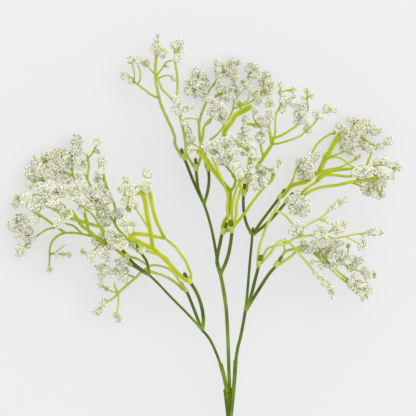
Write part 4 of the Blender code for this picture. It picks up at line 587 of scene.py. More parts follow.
# %% Bag of shells
class Shells:
    """Collects closed shells as arrays and turns them into one mesh in metres."""

    def __init__(self):
        self.points, self.faces, self.tones, self.size = [], [], [], 0

    def add(self, points, faces, tone):
        """Adds one shell; tone is one colour (three numbers), or one for each point."""
        self.points.append(points)
        self.faces.append(faces + self.size)
        tone = np.broadcast_to(np.asarray(tone, float).reshape(-1, 3), (len(points), 3))
        self.tones.append(tone)
        self.size += len(points)

    def make(self, name, replaced, slot, material):
        """Builds the object, with the tones as a point attribute, and ties it to the frame."""
        points = (np.vstack(self.points) - PLAN_ORIGIN) * MM
        points[:, 2] = np.maximum(points[:, 2], CAD_BOX[0][2])
        faces = np.vstack(self.faces).astype(np.int32)
        mesh = bpy.data.meshes.new(name)
        mesh.vertices.add(len(points))
        mesh.vertices.foreach_set("co", points.astype(np.float32).ravel())
        mesh.loops.add(faces.size)
        mesh.loops.foreach_set("vertex_index", faces.ravel())
        mesh.polygons.add(len(faces))
        mesh.polygons.foreach_set("loop_start", np.arange(0, faces.size, 3, dtype=np.int32))
        mesh.polygons.foreach_set("use_smooth", np.ones(len(faces), bool))
        mesh.update(calc_edges=True)
        rgba = np.ones((len(points), 4), np.float32)
        rgba[:, :3] = np.vstack(self.tones)
        mesh.attributes.new("tone", "FLOAT_COLOR", "POINT").data.foreach_set("color", rgba.ravel())
        mesh.materials.append(material)
        thing = bpy.data.objects.new(name, mesh)
        bpy.context.scene.collection.objects.link(thing)
        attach(thing, "root")
        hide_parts(*replaced)
        print(name, "points", len(points), "triangles", len(faces))
        return thing


def grid_faces(rings, sides):
    """Triangles between rings of points, and two end caps to the poles, which are the last two points."""
    k = np.arange(sides)
    n = (k + 1) % sides
    row = np.arange(rings - 1)[:, None] * sides
    a, b, c, d = row + k, row + n, row + sides + n, row + sides + k
    quads = np.stack([a, b, c, a, c, d], axis=-1).reshape(-1, 3)
    last = (rings - 1) * sides
    low = np.stack([np.full(sides, rings * sides), n, k], axis=-1)
    high = np.stack([np.full(sides, rings * sides + 1), last + k, last + n], axis=-1)
    return np.vstack([quads, low, high])


UPWARD = np.array([0.0, 0.0, 1.0])
ASIDE = np.array([0.6, 0.8, 0.0])
STEEP = 0.92
POLE_SHARE = 0.3


def rod(path, radii, sides, flat=1.0, ridge=0.0):
    """Profile carried along a path: each ring is centre + r*(cos a * normal + flat * sin a * side).

    The radius grows by ridge*max(0, cos 2a)^6, which is the fine line that a two-part mould leaves. The
    first direction of a ring is taken from UPWARD, or from ASIDE where the path is steep.
    """
    along = unit(np.gradient(path, axis=0))
    up = UPWARD if np.abs(along[:, 2]).max() < STEEP else ASIDE
    normal = unit(up - along * (along @ up)[:, None])
    side = np.cross(along, normal)
    angle = np.arange(sides) * 2.0 * math.pi / sides
    r = np.asarray(radii, float)[:, None] * (1.0 + ridge * np.maximum(0.0, np.cos(2.0 * angle)) ** 6)
    rings = (path[:, None] + normal[:, None] * (np.cos(angle) * r)[..., None]
             + side[:, None] * (np.sin(angle) * r * flat)[..., None])
    points = np.vstack([rings.reshape(-1, 3), path[:1] - along[:1] * radii[0] * POLE_SHARE,
                        path[-1:] + along[-1:] * radii[-1] * POLE_SHARE])
    return points, grid_faces(len(path), sides)


def tyre_faces(rows, columns):
    """Triangles of a grid that closes on itself both ways, like a tyre."""
    i, j = np.meshgrid(np.arange(rows), np.arange(columns), indexing="ij")
    i2, j2 = (i + 1) % rows, (j + 1) % columns
    a, b, c, d = i * columns + j, i * columns + j2, i2 * columns + j2, i2 * columns + j
    return np.stack([a, b, c, a, c, d], axis=-1).reshape(-1, 3)


print("shell helpers are ready")

# %% [markdown]
# ## Colours and finishes
# Three things are seen: a dark green, slightly glossy plastic for the stem and branches; a lighter, more
# yellow plastic for the sprays, thin enough for light to soften its shadows; and white flock, which is matte
# and crumbly. All three read Object coordinates, so the pattern stays on the piece. One node group makes the
# uneven, mottled colour that each of them has, and it is used with other values in each material.

# %% Shared group: mottled colour
FINE_SHARE = 0.45
MASK_FROM, MASK_TO = 0.5, 0.95


def group_socket(group, name, way, kind, value=None):
    """Adds a named socket to a node group's interface."""
    socket = group.interface.new_socket(name=name, in_out=way, socket_type=kind)
    if value is not None:
        socket.default_value = value
    return socket


def make_mottle():
    """Mixes a dark and a light colour by two scales of noise, and puts out the mask as well."""
    group = bpy.data.node_groups.new("mottled_colour", "ShaderNodeTree")
    group_socket(group, "Dark", "INPUT", "NodeSocketColor", (0.1, 0.2, 0.05, 1))
    group_socket(group, "Light", "INPUT", "NodeSocketColor", (0.3, 0.5, 0.1, 1))
    group_socket(group, "Broad Scale", "INPUT", "NodeSocketFloat", 60.0)
    group_socket(group, "Fine Scale", "INPUT", "NodeSocketFloat", 900.0)
    group_socket(group, "Colour", "OUTPUT", "NodeSocketColor")
    group_socket(group, "Mask", "OUTPUT", "NodeSocketFloat")
    nodes, links = group.nodes, group.links
    start, end = nodes.new("NodeGroupInput"), nodes.new("NodeGroupOutput")
    place = nodes.new("ShaderNodeTexCoord")
    broad, fine = nodes.new("ShaderNodeTexNoise"), nodes.new("ShaderNodeTexNoise")
    broad.inputs["Detail"].default_value = 2.0
    fine.inputs["Detail"].default_value = 3.0
    links.new(place.outputs["Object"], broad.inputs["Vector"])
    links.new(place.outputs["Object"], fine.inputs["Vector"])
    links.new(start.outputs["Broad Scale"], broad.inputs["Scale"])
    links.new(start.outputs["Fine Scale"], fine.inputs["Scale"])
    both = nodes.new("ShaderNodeMath")
    both.operation = "MULTIPLY_ADD"
    both.inputs[1].default_value = FINE_SHARE
    links.new(fine.outputs["Fac"], both.inputs[0])
    links.new(broad.outputs["Fac"], both.inputs[2])
    spread = nodes.new("ShaderNodeMapRange")
    spread.inputs["From Min"].default_value = MASK_FROM
    spread.inputs["From Max"].default_value = MASK_TO
    links.new(both.outputs[0], spread.inputs["Value"])
    mix = nodes.new("ShaderNodeMix")
    mix.data_type = "RGBA"
    links.new(spread.outputs["Result"], mix.inputs["Factor"])
    links.new(start.outputs["Dark"], mix.inputs[6])
    links.new(start.outputs["Light"], mix.inputs[7])
    links.new(mix.outputs[2], end.inputs["Colour"])
    links.new(spread.outputs["Result"], end.inputs["Mask"])
    return group


MOTTLE = make_mottle()
print("group sockets:", [s.name for s in MOTTLE.interface.items_tree])

# %% [markdown]
# ## The three materials
# The point attribute `tone` carries the colour that a part of the piece was given when it was made, with
# painted highlights on the right branch's foot and at junctions, and painted shade in the channels of thick
# arms. It is multiplied by the mottle, which varies a little round one, so one material serves several shades
# of plastic. A fine bump breaks up the highlight, as a moulded skin does.

# %% Materials
def make_finish(name, dark, light, scales, roughness, bump, settings):
    """Principled material: tone attribute times mottle, uneven roughness and a fine bump.

    The scales are those of the broad and the fine noise. The bump is its scale, strength and depth in
    millimetres. The settings go on the shader's own sockets.
    """
    material = bpy.data.materials.new(name)
    material.use_nodes = True
    nodes, links = material.node_tree.nodes, material.node_tree.links
    shader = nodes["Principled BSDF"]
    mottle = nodes.new("ShaderNodeGroup")
    mottle.node_tree = MOTTLE
    mottle.inputs["Dark"].default_value = (*dark, 1.0)
    mottle.inputs["Light"].default_value = (*light, 1.0)
    mottle.inputs["Broad Scale"].default_value = scales[0]
    mottle.inputs["Fine Scale"].default_value = scales[1]
    tone = nodes.new("ShaderNodeAttribute")
    tone.attribute_name = "tone"
    mix = nodes.new("ShaderNodeMix")
    mix.data_type = "RGBA"
    mix.blend_type = "MULTIPLY"
    mix.inputs["Factor"].default_value = 1.0
    links.new(mottle.outputs["Colour"], mix.inputs[6])
    links.new(tone.outputs["Color"], mix.inputs[7])
    links.new(mix.outputs[2], shader.inputs["Base Color"])
    rough = nodes.new("ShaderNodeMapRange")
    rough.inputs["To Min"].default_value = roughness[0]
    rough.inputs["To Max"].default_value = roughness[1]
    links.new(mottle.outputs["Mask"], rough.inputs["Value"])
    links.new(rough.outputs["Result"], shader.inputs["Roughness"])
    grain = nodes.new("ShaderNodeTexNoise")
    grain.inputs["Scale"].default_value = bump[0]
    grain.inputs["Detail"].default_value = 4.0
    place = nodes.new("ShaderNodeTexCoord")
    links.new(place.outputs["Object"], grain.inputs["Vector"])
    relief = nodes.new("ShaderNodeBump")
    relief.inputs["Strength"].default_value = bump[1]
    relief.inputs["Distance"].default_value = bump[2] * MM
    links.new(grain.outputs["Fac"], relief.inputs["Height"])
    links.new(relief.outputs["Normal"], shader.inputs["Normal"])
    for socket, value in settings.items():
        shader.inputs[socket].default_value = value
    return material


STEM_PLASTIC = make_finish(
    "stem_plastic", (0.62, 0.66, 0.5), (1.4, 1.32, 1.6), (70.0, 1400.0), (0.34, 0.5),
    (2600.0, 0.25, 0.08), {"Specular IOR Level": 0.16})
SPRAY_PLASTIC = make_finish(
    "spray_plastic", (0.78, 0.84, 0.7), (1.16, 1.1, 1.3), (90.0, 1500.0), (0.34, 0.5),
    (2600.0, 0.2, 0.06),
    {"Specular IOR Level": 0.15, "Subsurface Weight": 0.3, "Subsurface Scale": 0.0012,
     "Subsurface Radius": (1.0, 1.0, 0.4)})
FLOCK = make_finish(
    "white_flock", (0.90, 0.92, 0.86), (1.06, 1.04, 1.04), (500.0, 3200.0), (0.9, 1.0),
    (3800.0, 0.35, 0.15),
    {"Specular IOR Level": 0.1, "Subsurface Weight": 0.7, "Subsurface Scale": 0.0022,
     "Subsurface Radius": (1.0, 1.0, 0.85)})
print("materials:", STEM_PLASTIC.name, SPRAY_PLASTIC.name, FLOCK.name)

# Colours before the mottle, as linear red, green and blue.
DARK_TONE = (0.090, 0.136, 0.0015)
ROOT_TONE = (0.135, 0.205, 0.008)
# A painted highlight on the foot of the right branch.
PAINTED_FOOT_HIGHLIGHT_TONE = (0.33, 0.44, 0.10)
# A painted highlight where a rod leaves a junction.
PAINTED_JUNCTION_HIGHLIGHT_TONE = (0.20, 0.31, 0.02)
SHADE_TONES = {
    "pale": (0.45, 0.535, 0.075),
    "yellow": (0.465, 0.52, 0.013),
    "olive": (0.40, 0.485, 0.010),
    "grass": (0.355, 0.44, 0.018),
    "dull": (0.41, 0.475, 0.075),
}
LIP_TONE = (0.50, 0.58, 0.17)
CORE_TONE = (0.80, 0.81, 0.56)
WHITE_TONE = (0.93, 0.93, 0.75)
SPECK_TONE = (0.26, 0.36, 0.06)
TINTS = {
    "b": (0.70, 0.62, 0.42),
    "y": (0.74, 0.70, 0.30),
    "o": (0.50, 0.38, 0.14),
    "g": (0.36, 0.47, 0.10),
    "c": (0.33, 0.45, 0.07),
}

# %% [markdown]
# ## Main stem and branches
# On the real thing these are four mouldings: the stem, with a sleeve that flares at the top, and three
# branches whose feet sit in it. Each is a bundle of round rods. A rod swells a little where it leaves a
# junction and where it ends, because the mould has a fillet there.

# %% Stem and branches
FILLET_REACH = 2.4
END_SHARE = 0.55
END_LENGTH = 0.5
FIRST_TONE_SHARE = 0.25
# Painted light on a thick arm, and painted shade on the floor of its channel.
PAINTED_CHANNEL_LIGHT, PAINTED_CHANNEL_SHADE = 1.08, 0.35


def swollen(path, r0, r1, swell_start, swell_end):
    """Radius along a rod: a straight taper, with a bell exp(-(s/FILLET_REACH)^2) as a swelling at each end.

    The last END_LENGTH narrows to END_SHARE of the radius, which rounds the end.
    """
    far = np.concatenate([[0.0], np.cumsum(np.linalg.norm(np.diff(path, axis=0), axis=1))])
    taper = r0 + (r1 - r0) * far / far[-1]
    left = far[-1] - far
    bell = swell_start * np.exp(-(far / FILLET_REACH) ** 2) + swell_end * np.exp(-(left / FILLET_REACH) ** 2)
    ends = np.minimum(1.0, END_SHARE + (1.0 - END_SHARE) * np.minimum(far, left) / END_LENGTH)
    return taper * (1.0 + bell) * ends


def blend_tone(count, first, second):
    """Tone for each ring: the first colour gives way to the second over FIRST_TONE_SHARE of the rings."""
    t = np.clip(np.linspace(0, 1, count) / FIRST_TONE_SHARE, 0, 1)[:, None]
    return np.array(first) * (1 - t) + np.array(second) * t


def add_rod(bag, points, r0, r1, tone_a, tone_b, sides, step, swell=(0.0, 0.0), ridge=0.05):
    """Adds one rod along a smooth path, with its tone running from tone_a to tone_b.

    A ridge below zero is a channel with painted shade on its floor and painted light on the rest: the tone is
    multiplied by the channel light less the channel shade times max(0, cos a)^12, which is darkest on the
    upper side.
    """
    path = smooth_path(points, step)
    shell, faces = rod(path, swollen(path, r0, r1, *swell), sides, ridge=ridge)
    tone = np.repeat(blend_tone(len(path), tone_a, tone_b), sides, axis=0)
    if ridge < 0:
        angle = np.arange(sides) * 2.0 * math.pi / sides
        # Painted shade on the channel's upper floor, painted light on the rest of the arm.
        light = PAINTED_CHANNEL_LIGHT - PAINTED_CHANNEL_SHADE * np.maximum(0.0, np.cos(angle)) ** 12
        tone = tone * np.tile(light, len(path))[:, None]
    bag.add(shell, faces, np.vstack([tone, tone[:1], tone[-1:]]))
    return path


STEM_CUT = -230.0
STEM_LOW = -38.4
STEM_RADIUS = 2.5
SLEEVE_RADIUS = 3.8
STEM_SIDES = 24
STEM_LINE = [(0.4, STEM_CUT, STEM_LOW), (0.4, -110, STEM_LOW * 0.5), (0.4, 0, -2.2), (0.2, 14, -1)]
SLEEVE_LINE = [(0.4, 1, -2.0), (0.1, 9.5, -1.3), (-0.2, 16.3, -1.0), (-0.3, 18.3, 0)]

stem = Shells()
add_rod(stem, STEM_LINE, STEM_RADIUS, STEM_RADIUS, DARK_TONE, DARK_TONE, STEM_SIDES, 4.0, ridge=0.03)
add_rod(stem, SLEEVE_LINE, STEM_RADIUS, SLEEVE_RADIUS, DARK_TONE, DARK_TONE, STEM_SIDES, 0.8, ridge=0.0)
stem.make("main_stem_rod", ["main_stem"], "stem_green", STEM_PLASTIC)

BRANCH_SIDES = 12
BRANCH_STEP = 1.2
JUNCTION_SWELL = 0.22
PLAIN_END_SWELL = 0.08
CARRIERS = {tuple(spray["on"]) for spray in SPRAYS.values()}


def first_tone(branch, k):
    """Colour at the start of rod k: the feet in the sleeve are a lighter green, the right foot carries a
    painted highlight, and a rod that leaves a junction starts with a painted highlight.
    """
    if k == 0 and branch == "branch_right":
        return PAINTED_FOOT_HIGHLIGHT_TONE
    return ROOT_TONE if k < 2 else PAINTED_JUNCTION_HIGHLIGHT_TONE


for branch, rods in BRANCHES.items():
    bag = Shells()
    for k, (r0, r1, points) in enumerate(rods):
        end_swell = JUNCTION_SWELL if (branch, k) in CARRIERS else PLAIN_END_SWELL
        end_tone = ROOT_TONE if k == 0 else DARK_TONE
        add_rod(bag, points, r0, r1, first_tone(branch, k), end_tone, BRANCH_SIDES, BRANCH_STEP,
                swell=(JUNCTION_SWELL, end_swell))
    bag.make(branch + "_rods", [branch], "stem_green", STEM_PLASTIC)

# %% [markdown]
# ## Small shapes: sleeve, leaf, core and granules
# A collar is a short sleeve: a closed outline with rounded lips, turned round the axis. A needle leaf is a
# rod that is flat and pointed at both ends. The core of a bud is a pale ball that is pressed out of shape.
# The flock is not one surface: it is a crowd of small lumps, so a bud gets some eighty granules, spread
# evenly over the core and each turned and stretched by a seeded draw.

# %% Sleeve and leaf
LIP = 0.35
BELLY = 0.12
SLEEVE_SIDES = 20
SLANT = np.array([0.3, 0.2, 0.93])
LEAF_RINGS = 7
LEAF_SIDES = 4
LEAF_FLATNESS = 0.35


def sleeve(low, high, inner, outer):
    """Outline (r, z) with rounded lips, turned round the axis.

    Each point is low + r cos a * u + r sin a * v + z * axis, where u and v stand square to the axis.
    """
    axis = unit(high - low)
    length = np.linalg.norm(high - low)
    u = unit(np.cross(axis, SLANT))
    v = np.cross(axis, u)
    outline = np.array([(inner, 0.0), (outer - LIP, 0.0), (outer, LIP), (outer + BELLY, length * 0.5),
                        (outer, length - LIP), (outer - LIP, length), (inner, length)])
    angle = np.arange(SLEEVE_SIDES) * 2.0 * math.pi / SLEEVE_SIDES
    turn = np.cos(angle)[:, None] * u + np.sin(angle)[:, None] * v
    points = (low + outline[:, 0][None, :, None] * turn[:, None] + outline[:, 1][None, :, None] * axis)
    return points.reshape(-1, 3), tyre_faces(SLEEVE_SIDES, len(outline))[:, ::-1]


def needle(root, tip, radius, curl):
    """Flat pointed rod from root to tip that bows by curl; its radius is radius*sin(pi t)^0.7."""
    t = np.linspace(0.0, 1.0, LEAF_RINGS)[:, None]
    path = root + (tip - root) * t + curl * np.sin(math.pi * t)
    radii = radius * np.maximum(np.sin(math.pi * t[:, 0]), 0.04) ** 0.7
    return rod(path, radii, LEAF_SIDES, flat=LEAF_FLATNESS)


leaf = needle(np.zeros(3), np.array([3.0, 0.0, 0.0]), 0.45, np.zeros(3))
print("one leaf has", len(leaf[1]), "triangles")

# %% Core and granules
# Sizes are shares of the bud's radius. The shares for colour say how much of the tint is mixed in.
WAVE_HEIGHT = 0.11
CORE_SHARE = 0.84
CORE_SIDES = 9
CORE_RINGS = 6
CORE_POLE = 0.2
SCATTER = 0.2
GRANULE_OUT = (0.80, 0.92)
GRANULE_SIZE = (0.145, 0.245)
GRANULE_STRETCH = (0.7, 1.35)
GRANULE_DENT = (0.84, 1.16)
GRANULE_LIGHT = (0.92, 1.05)
TINT_SHARE = 0.85
GREEN_BUD_DRAW = 0.7
CENTRE_WAY = (0.1, 0.1, 1.0)
CENTRE_FROM, CENTRE_TO = 0.62, 0.92
SPECK_SHARE = 0.75
SPECK_DRAW = 0.08
GOLDEN = (1 + 5 ** 0.5) / 2
ICO_POINTS = unit(np.array([
    (-1, GOLDEN, 0), (1, GOLDEN, 0), (-1, -GOLDEN, 0), (1, -GOLDEN, 0), (0, -1, GOLDEN), (0, 1, GOLDEN),
    (0, -1, -GOLDEN), (0, 1, -GOLDEN), (GOLDEN, 0, -1), (GOLDEN, 0, 1), (-GOLDEN, 0, -1), (-GOLDEN, 0, 1),
], float))
ICO_FACES = np.array([
    (0, 11, 5), (0, 5, 1), (0, 1, 7), (0, 7, 10), (0, 10, 11), (1, 5, 9), (5, 11, 4), (11, 10, 2),
    (10, 7, 6), (7, 1, 8), (3, 9, 4), (3, 4, 2), (3, 2, 6), (3, 6, 8), (3, 8, 9), (4, 9, 5), (2, 4, 11),
    (6, 2, 10), (8, 6, 7), (9, 8, 1),
])


def even_directions(count, spin):
    """Directions spread evenly over a ball: equal steps of height, turned by the golden angle at each."""
    k = np.arange(count) + 0.5
    z = 1.0 - 2.0 * k / count
    a = k * math.pi * (3.0 - 5 ** 0.5) + spin
    return np.stack([np.sqrt(1 - z * z) * np.cos(a), np.sqrt(1 - z * z) * np.sin(a), z], axis=1)


def soft_step(x, low, high):
    """Eased step from 0 at low to 1 at high: t*t*(3-2t)."""
    t = np.clip((x - low) / (high - low), 0.0, 1.0)
    return t * t * (3.0 - 2.0 * t)


def pressed(where, shape, bumps):
    """How far a bud reaches each way: its stretch times 1 + WAVE_HEIGHT*sin(3 d.w + phase), for two waves."""
    waves = np.sin(3.0 * (where @ bumps[:, :3].T) + bumps[:, 3]).sum(axis=1)
    return np.linalg.norm(where * shape, axis=1) * (1.0 + WAVE_HEIGHT * waves)


def granule_tones(where, rng, tint, warmth):
    """White of a drawn brightness. A tinted bud has a coloured centre, or is green nearly all over."""
    count = len(where)
    tone = np.array(WHITE_TONE) * (1.0, 1.0, warmth) * rng.uniform(*GRANULE_LIGHT, (count, 1))
    if tint == "g":
        share = TINT_SHARE * (rng.random(count) < GREEN_BUD_DRAW)
    elif tint:
        share = TINT_SHARE * soft_step(where @ unit(np.array(CENTRE_WAY)), CENTRE_FROM, CENTRE_TO)
    else:
        share = SPECK_SHARE * (rng.random(count) < SPECK_DRAW)
    colour = np.array(TINTS[tint] if tint else SPECK_TONE)
    return tone + (colour - tone) * share[:, None]


def granules(centre, radius, rng, tint, count, size, shape, bumps, warmth):
    """Lumps on a bud: each is the twenty-sided ball turned, stretched, dented and moved to its place."""
    where = unit(even_directions(count, rng.uniform(0, 6.28)) + rng.normal(0, SCATTER, (count, 3)))
    lump = radius * rng.uniform(*size, count)
    out = radius * rng.uniform(*GRANULE_OUT, count) * pressed(where, shape, bumps)
    frame_a = unit(rng.normal(0, 1, (count, 3)))
    frame_b = unit(np.cross(frame_a, rng.normal(0, 1, (count, 3))))
    frame_c = np.cross(frame_a, frame_b)
    stretch = rng.uniform(*GRANULE_STRETCH, (count, 3)) * lump[:, None]
    turned = (ICO_POINTS[None, :, 0:1] * (frame_a * stretch[:, 0:1])[:, None]
              + ICO_POINTS[None, :, 1:2] * (frame_b * stretch[:, 1:2])[:, None]
              + ICO_POINTS[None, :, 2:3] * (frame_c * stretch[:, 2:3])[:, None])
    turned = turned * rng.uniform(*GRANULE_DENT, (count, len(ICO_POINTS), 1))
    points = (centre + where * out[:, None])[:, None] + turned
    faces = ICO_FACES[None] + (np.arange(count) * len(ICO_POINTS))[:, None, None]
    tone = granule_tones(where, rng, tint, warmth)
    return points.reshape(-1, 3), faces.reshape(-1, 3), np.repeat(tone, len(ICO_POINTS), axis=0)


def core(centre, radius, shape, bumps):
    """Pressed ball: the directions (sin b cos a, sin b sin a, cos b) times the bud's reach in each."""
    b = np.linspace(math.pi - CORE_POLE, CORE_POLE, CORE_RINGS)[:, None]
    a = np.arange(CORE_SIDES) * 2 * math.pi / CORE_SIDES
    where = np.stack([np.sin(b) * np.cos(a), np.sin(b) * np.sin(a), np.cos(b) + a * 0], axis=-1)
    where = np.vstack([where.reshape(-1, 3), [[0, 0, -1.0], [0, 0, 1.0]]])
    points = centre + where * (radius * CORE_SHARE * pressed(where, shape, bumps))[:, None]
    return points, grid_faces(CORE_RINGS, CORE_SIDES)


EVEN = np.ones(3)
CALM = np.zeros((2, 4))
sample = granules(np.zeros(3), 3.5, np.random.default_rng(1), "", 80, GRANULE_SIZE, EVEN, CALM, 1.0)
print("eighty granules have", len(sample[1]), "triangles")

# %% [markdown]
# ## Growing a spray
# The arms start on the wall of the collar and keep to the sheet. Each bud then finds the nearest arm and
# gets a curved stalk from a point set back along it, as a twig grows forwards and outwards. Needle leaves
# stand at the foot of the stalks. Loose flock bridges neighbouring buds. All draws come from one seeded
# generator, so the spray grows the same way every time.

# %% Arms and stalks
ARM_STEP = 1.3
ARM_SIDES = 9
THICK_ARM = 1.3
THICK_SIDES = 16
THICK_CHANNEL = -0.2
ARM_ROOT_SHADE = 0.92
# An arm that starts this near to the collar is rooted in its wall, sunk by ROOT_SINK.
ROOT_NEAR = 6.0
ROOT_SINK = 0.35
ROOT_TILT = 0.55
ROOT_EASE = 0.8
STALK_BACK = 0.6
STALK_FROM = 0.45
STALK_RADII = (0.62, 0.5)


def collar_of(spray):
    """Low and top centre, axis and outer radius of the collar, from the end of the rod that carries it."""
    branch, k = spray["on"]
    _, end_radius, line = BRANCHES[branch][k]
    top, axis = point_from_end(line, COLLAR_TOP)
    low, _ = point_from_end(line, COLLAR_TOP + COLLAR_LENGTH)
    return low, top, axis, end_radius + COLLAR_WALL


def arm_lines(spray, low, top, axis, radius):
    """The arms' points in space: on the sheet, but an arm that starts at the collar roots in its wall."""
    lines = []
    for i, (r0, r1, flat) in enumerate(spray["arms"]):
        flat = np.array(flat, float)
        points = np.column_stack([flat[:, :2], sheet_height(spray, flat[:, :2]) + flat[:, 2:].sum(axis=1)])
        if np.linalg.norm(points[0] - top) < ROOT_NEAR:
            middle = (top + low) / 2.0
            aim = unit(points[1] - middle)
            side = unit(aim - axis * (aim @ axis))
            side = unit(side + np.array([0.0, 0.0, ROOT_TILT if i % 2 else -ROOT_TILT]))
            points[0] = middle + side * (radius - ROOT_SINK)
            points[1] = points[1] + side * ROOT_EASE
        lines.append((r0, r1, points))
    return lines


def add_arms(bag, lines, plastic):
    """Adds the arms, and gives back points along them all and the way that each runs there."""
    samples, ways = [], []
    for r0, r1, points in lines:
        thick = max(r0, r1) > THICK_ARM
        path = add_rod(bag, points, r0, r1, plastic * ARM_ROOT_SHADE, plastic,
                       THICK_SIDES if thick else ARM_SIDES, ARM_STEP,
                       swell=(0.2, 0.0), ridge=THICK_CHANNEL if thick else 0.0)
        samples.append(path)
        ways.append(unit(np.gradient(path, axis=0)))
    return np.vstack(samples), np.vstack(ways)


def nearest_foot(samples, ways, place):
    """The sample nearest to a place, set back against its own way by STALK_BACK of the distance."""
    gap = np.linalg.norm(samples - place, axis=1)
    k = int(np.argmin(gap))
    goal = samples[k] - ways[k] * gap[k] * STALK_BACK
    back = int(np.argmin(np.linalg.norm(samples - goal, axis=1)))
    return samples[back], ways[back], gap[k]


def add_stalk(bag, foot, way, gap, place, plastic):
    """A thin rod that leaves the arm along its way and bends to the bud."""
    bend = foot + way * gap * 0.45 + (place - foot) * 0.3
    add_rod(bag, [foot, bend, place], *STALK_RADII, plastic, plastic, 7, 1.5, swell=(0.3, 0.0))


print("arms:", sum(len(spray["arms"]) for spray in SPRAYS.values()))

# %% Leaves, buds and bridges
FOOT_LEAVES, BUD_LEAVES = 2, 3
FOOT_LEAF_LENGTH = (2.2, 4.2)
FOOT_LEAF_RADIUS = 0.45
BUD_LEAF_PAST = (0.6, 1.8)
BUD_LEAF_RADIUS = 0.4
GRANULES_PER_MM = 25
LEAST_GRANULES = 26
# Two buds are bridged when the gap between their centres is between these shares of their radii together.
BRIDGE_NEAR, BRIDGE_FAR = 0.7, 1.3
BRIDGE_RADIUS = 0.5
BRIDGE_STRETCH = 0.9
BRIDGE_GRANULES = 13
BRIDGE_SIZE = (0.29, 0.46)


def add_leaves(bag, foot, way, place, radius, plastic, rng):
    """Needle leaves: two at the foot of the stalk and three round the bud, opening like a small star."""
    out = unit(place - foot + 1e-6)
    for _ in range(FOOT_LEAVES):
        aim = unit(way * 0.5 + out * 0.7 + rng.normal(0, 0.45, 3))
        length = rng.uniform(*FOOT_LEAF_LENGTH)
        shell, faces = needle(foot, foot + aim * length, FOOT_LEAF_RADIUS, rng.normal(0, 0.25, 3))
        bag.add(shell, faces, plastic * rng.uniform(0.75, 1.05))
    for _ in range(BUD_LEAVES):
        aim = unit(out * 0.2 + rng.normal(0, 0.7, 3))
        start = place + aim * radius * 0.5
        end = place + aim * (radius + rng.uniform(*BUD_LEAF_PAST))
        shell, faces = needle(start, end, BUD_LEAF_RADIUS, rng.normal(0, 0.2, 3))
        bag.add(shell, faces, plastic * rng.uniform(0.8, 1.05))


def add_bud(bag, place, radius, tint, rng, warmth):
    """A pale pressed core, covered in granules."""
    shape = rng.uniform(0.88, 1.12, 3)
    bumps = np.column_stack([unit(rng.normal(0, 1, (2, 3))), rng.uniform(0, 6.28, 2)])
    shell, faces = core(place, radius, shape, bumps)
    bag.add(shell, faces, TINTS["g"] if tint == "g" else CORE_TONE)
    count = max(LEAST_GRANULES, int(GRANULES_PER_MM * radius))
    bag.add(*granules(place, radius, rng, tint, count, GRANULE_SIZE, shape, bumps, warmth))


def add_bridges(bag, buds, rng, warmth):
    """Loose flock between two buds of a spray that nearly touch: a small clump at the middle of the gap."""
    for i, (a, ra, tint_a) in enumerate(buds):
        for b, rb, tint_b in buds[i + 1:]:
            apart = np.linalg.norm(a - b)
            if not BRIDGE_NEAR * (ra + rb) < apart < BRIDGE_FAR * (ra + rb) or "g" in (tint_a, tint_b):
                continue
            middle = a + (b - a) * (ra + (apart - ra - rb) / 2) / apart
            bag.add(*granules(middle, BRIDGE_RADIUS * min(ra, rb), rng, "", BRIDGE_GRANULES, BRIDGE_SIZE,
                              EVEN * BRIDGE_STRETCH, CALM, warmth))


print("leaves for each bud:", FOOT_LEAVES + BUD_LEAVES)

# %% [markdown]
# ## All the sprays
# Every spray becomes two pieces: its green plastic, and its white buds. The white piece also replaces the
# CAD nodes of the spray's larger heads.

# %% Grow all the sprays
FIRST_SEED = 40
YELLOW_WARMTH = 0.86


def bud_places(spray):
    """Every bud of a spray: its centre, radius and tint."""
    rows = [(b, k, LIFTS.get(title, 0.0))
            for title, head in spray["heads"].items() for k, b in enumerate(head)]
    rows += [(b, k, 0.0) for k, b in enumerate(spray["singles"])]
    buds = []
    for b, k, lift in rows:
        z = float(sheet_height(spray, b[:2])[0]) + b[2] * DEPTHS[k % len(DEPTHS)] + lift
        buds.append((np.array([b[0], b[1], z]), b[2], b[3] if len(b) > 3 else ""))
    return buds


def grow_spray(name, spray, seed):
    """Builds the green piece and the white piece of one spray."""
    rng = np.random.default_rng(seed)
    low, top, axis, radius = collar_of(spray)
    spray["tip"] = top
    plastic = np.array(SHADE_TONES[spray["shade"]])
    warmth = YELLOW_WARMTH if spray["shade"] == "yellow" else 1.0
    green, white = Shells(), Shells()
    green.add(*sleeve(low, top, radius - COLLAR_WALL, radius), (plastic + np.array(LIP_TONE)) / 2.0)
    samples, ways = add_arms(green, arm_lines(spray, low, top, axis, radius), plastic)
    buds = bud_places(spray)
    for place, bud_radius, tint in buds:
        foot, way, gap = nearest_foot(samples, ways, place)
        if gap > bud_radius * STALK_FROM:
            add_stalk(green, foot, way, gap, place, plastic)
        add_leaves(green, foot, way, place, bud_radius, plastic, rng)
        add_bud(white, place, bud_radius, tint, rng, warmth)
    add_bridges(white, buds, rng, warmth)
    own = [title for title, head in spray["heads"].items() if len(head) >= OWN_NODE]
    green.make(name + "_plastic", [name], "spray_green", SPRAY_PLASTIC)
    white.make(name + "_buds", [name] + own, "flock_white", FLOCK)
    return len(buds)


grown = [grow_spray(name, spray, FIRST_SEED + k) for k, (name, spray) in enumerate(SPRAYS.items())]
print("buds:", sum(grown))

# %% [markdown]
# ## Floor and light
# The photograph has a plain, nearly white ground and hardly any shadow. The floor is a wide pale sheet just
# below the part, and like a light table it glows a little, which fills the shadows. A bright even sky gives
# most of the light, and one very large soft lamp from the upper right gives the stems their highlights.

# %% Floor
FLOOR_SIDE = 9.0
FLOOR_CELLS = 2
FLOOR_GAP = 0.0002
FLOOR_COLOUR = (0.33, 0.33, 0.34, 1.0)
FLOOR_GLOW = (1.0, 1.0, 1.015, 1.0)
FLOOR_GLOW_STRENGTH = 0.445


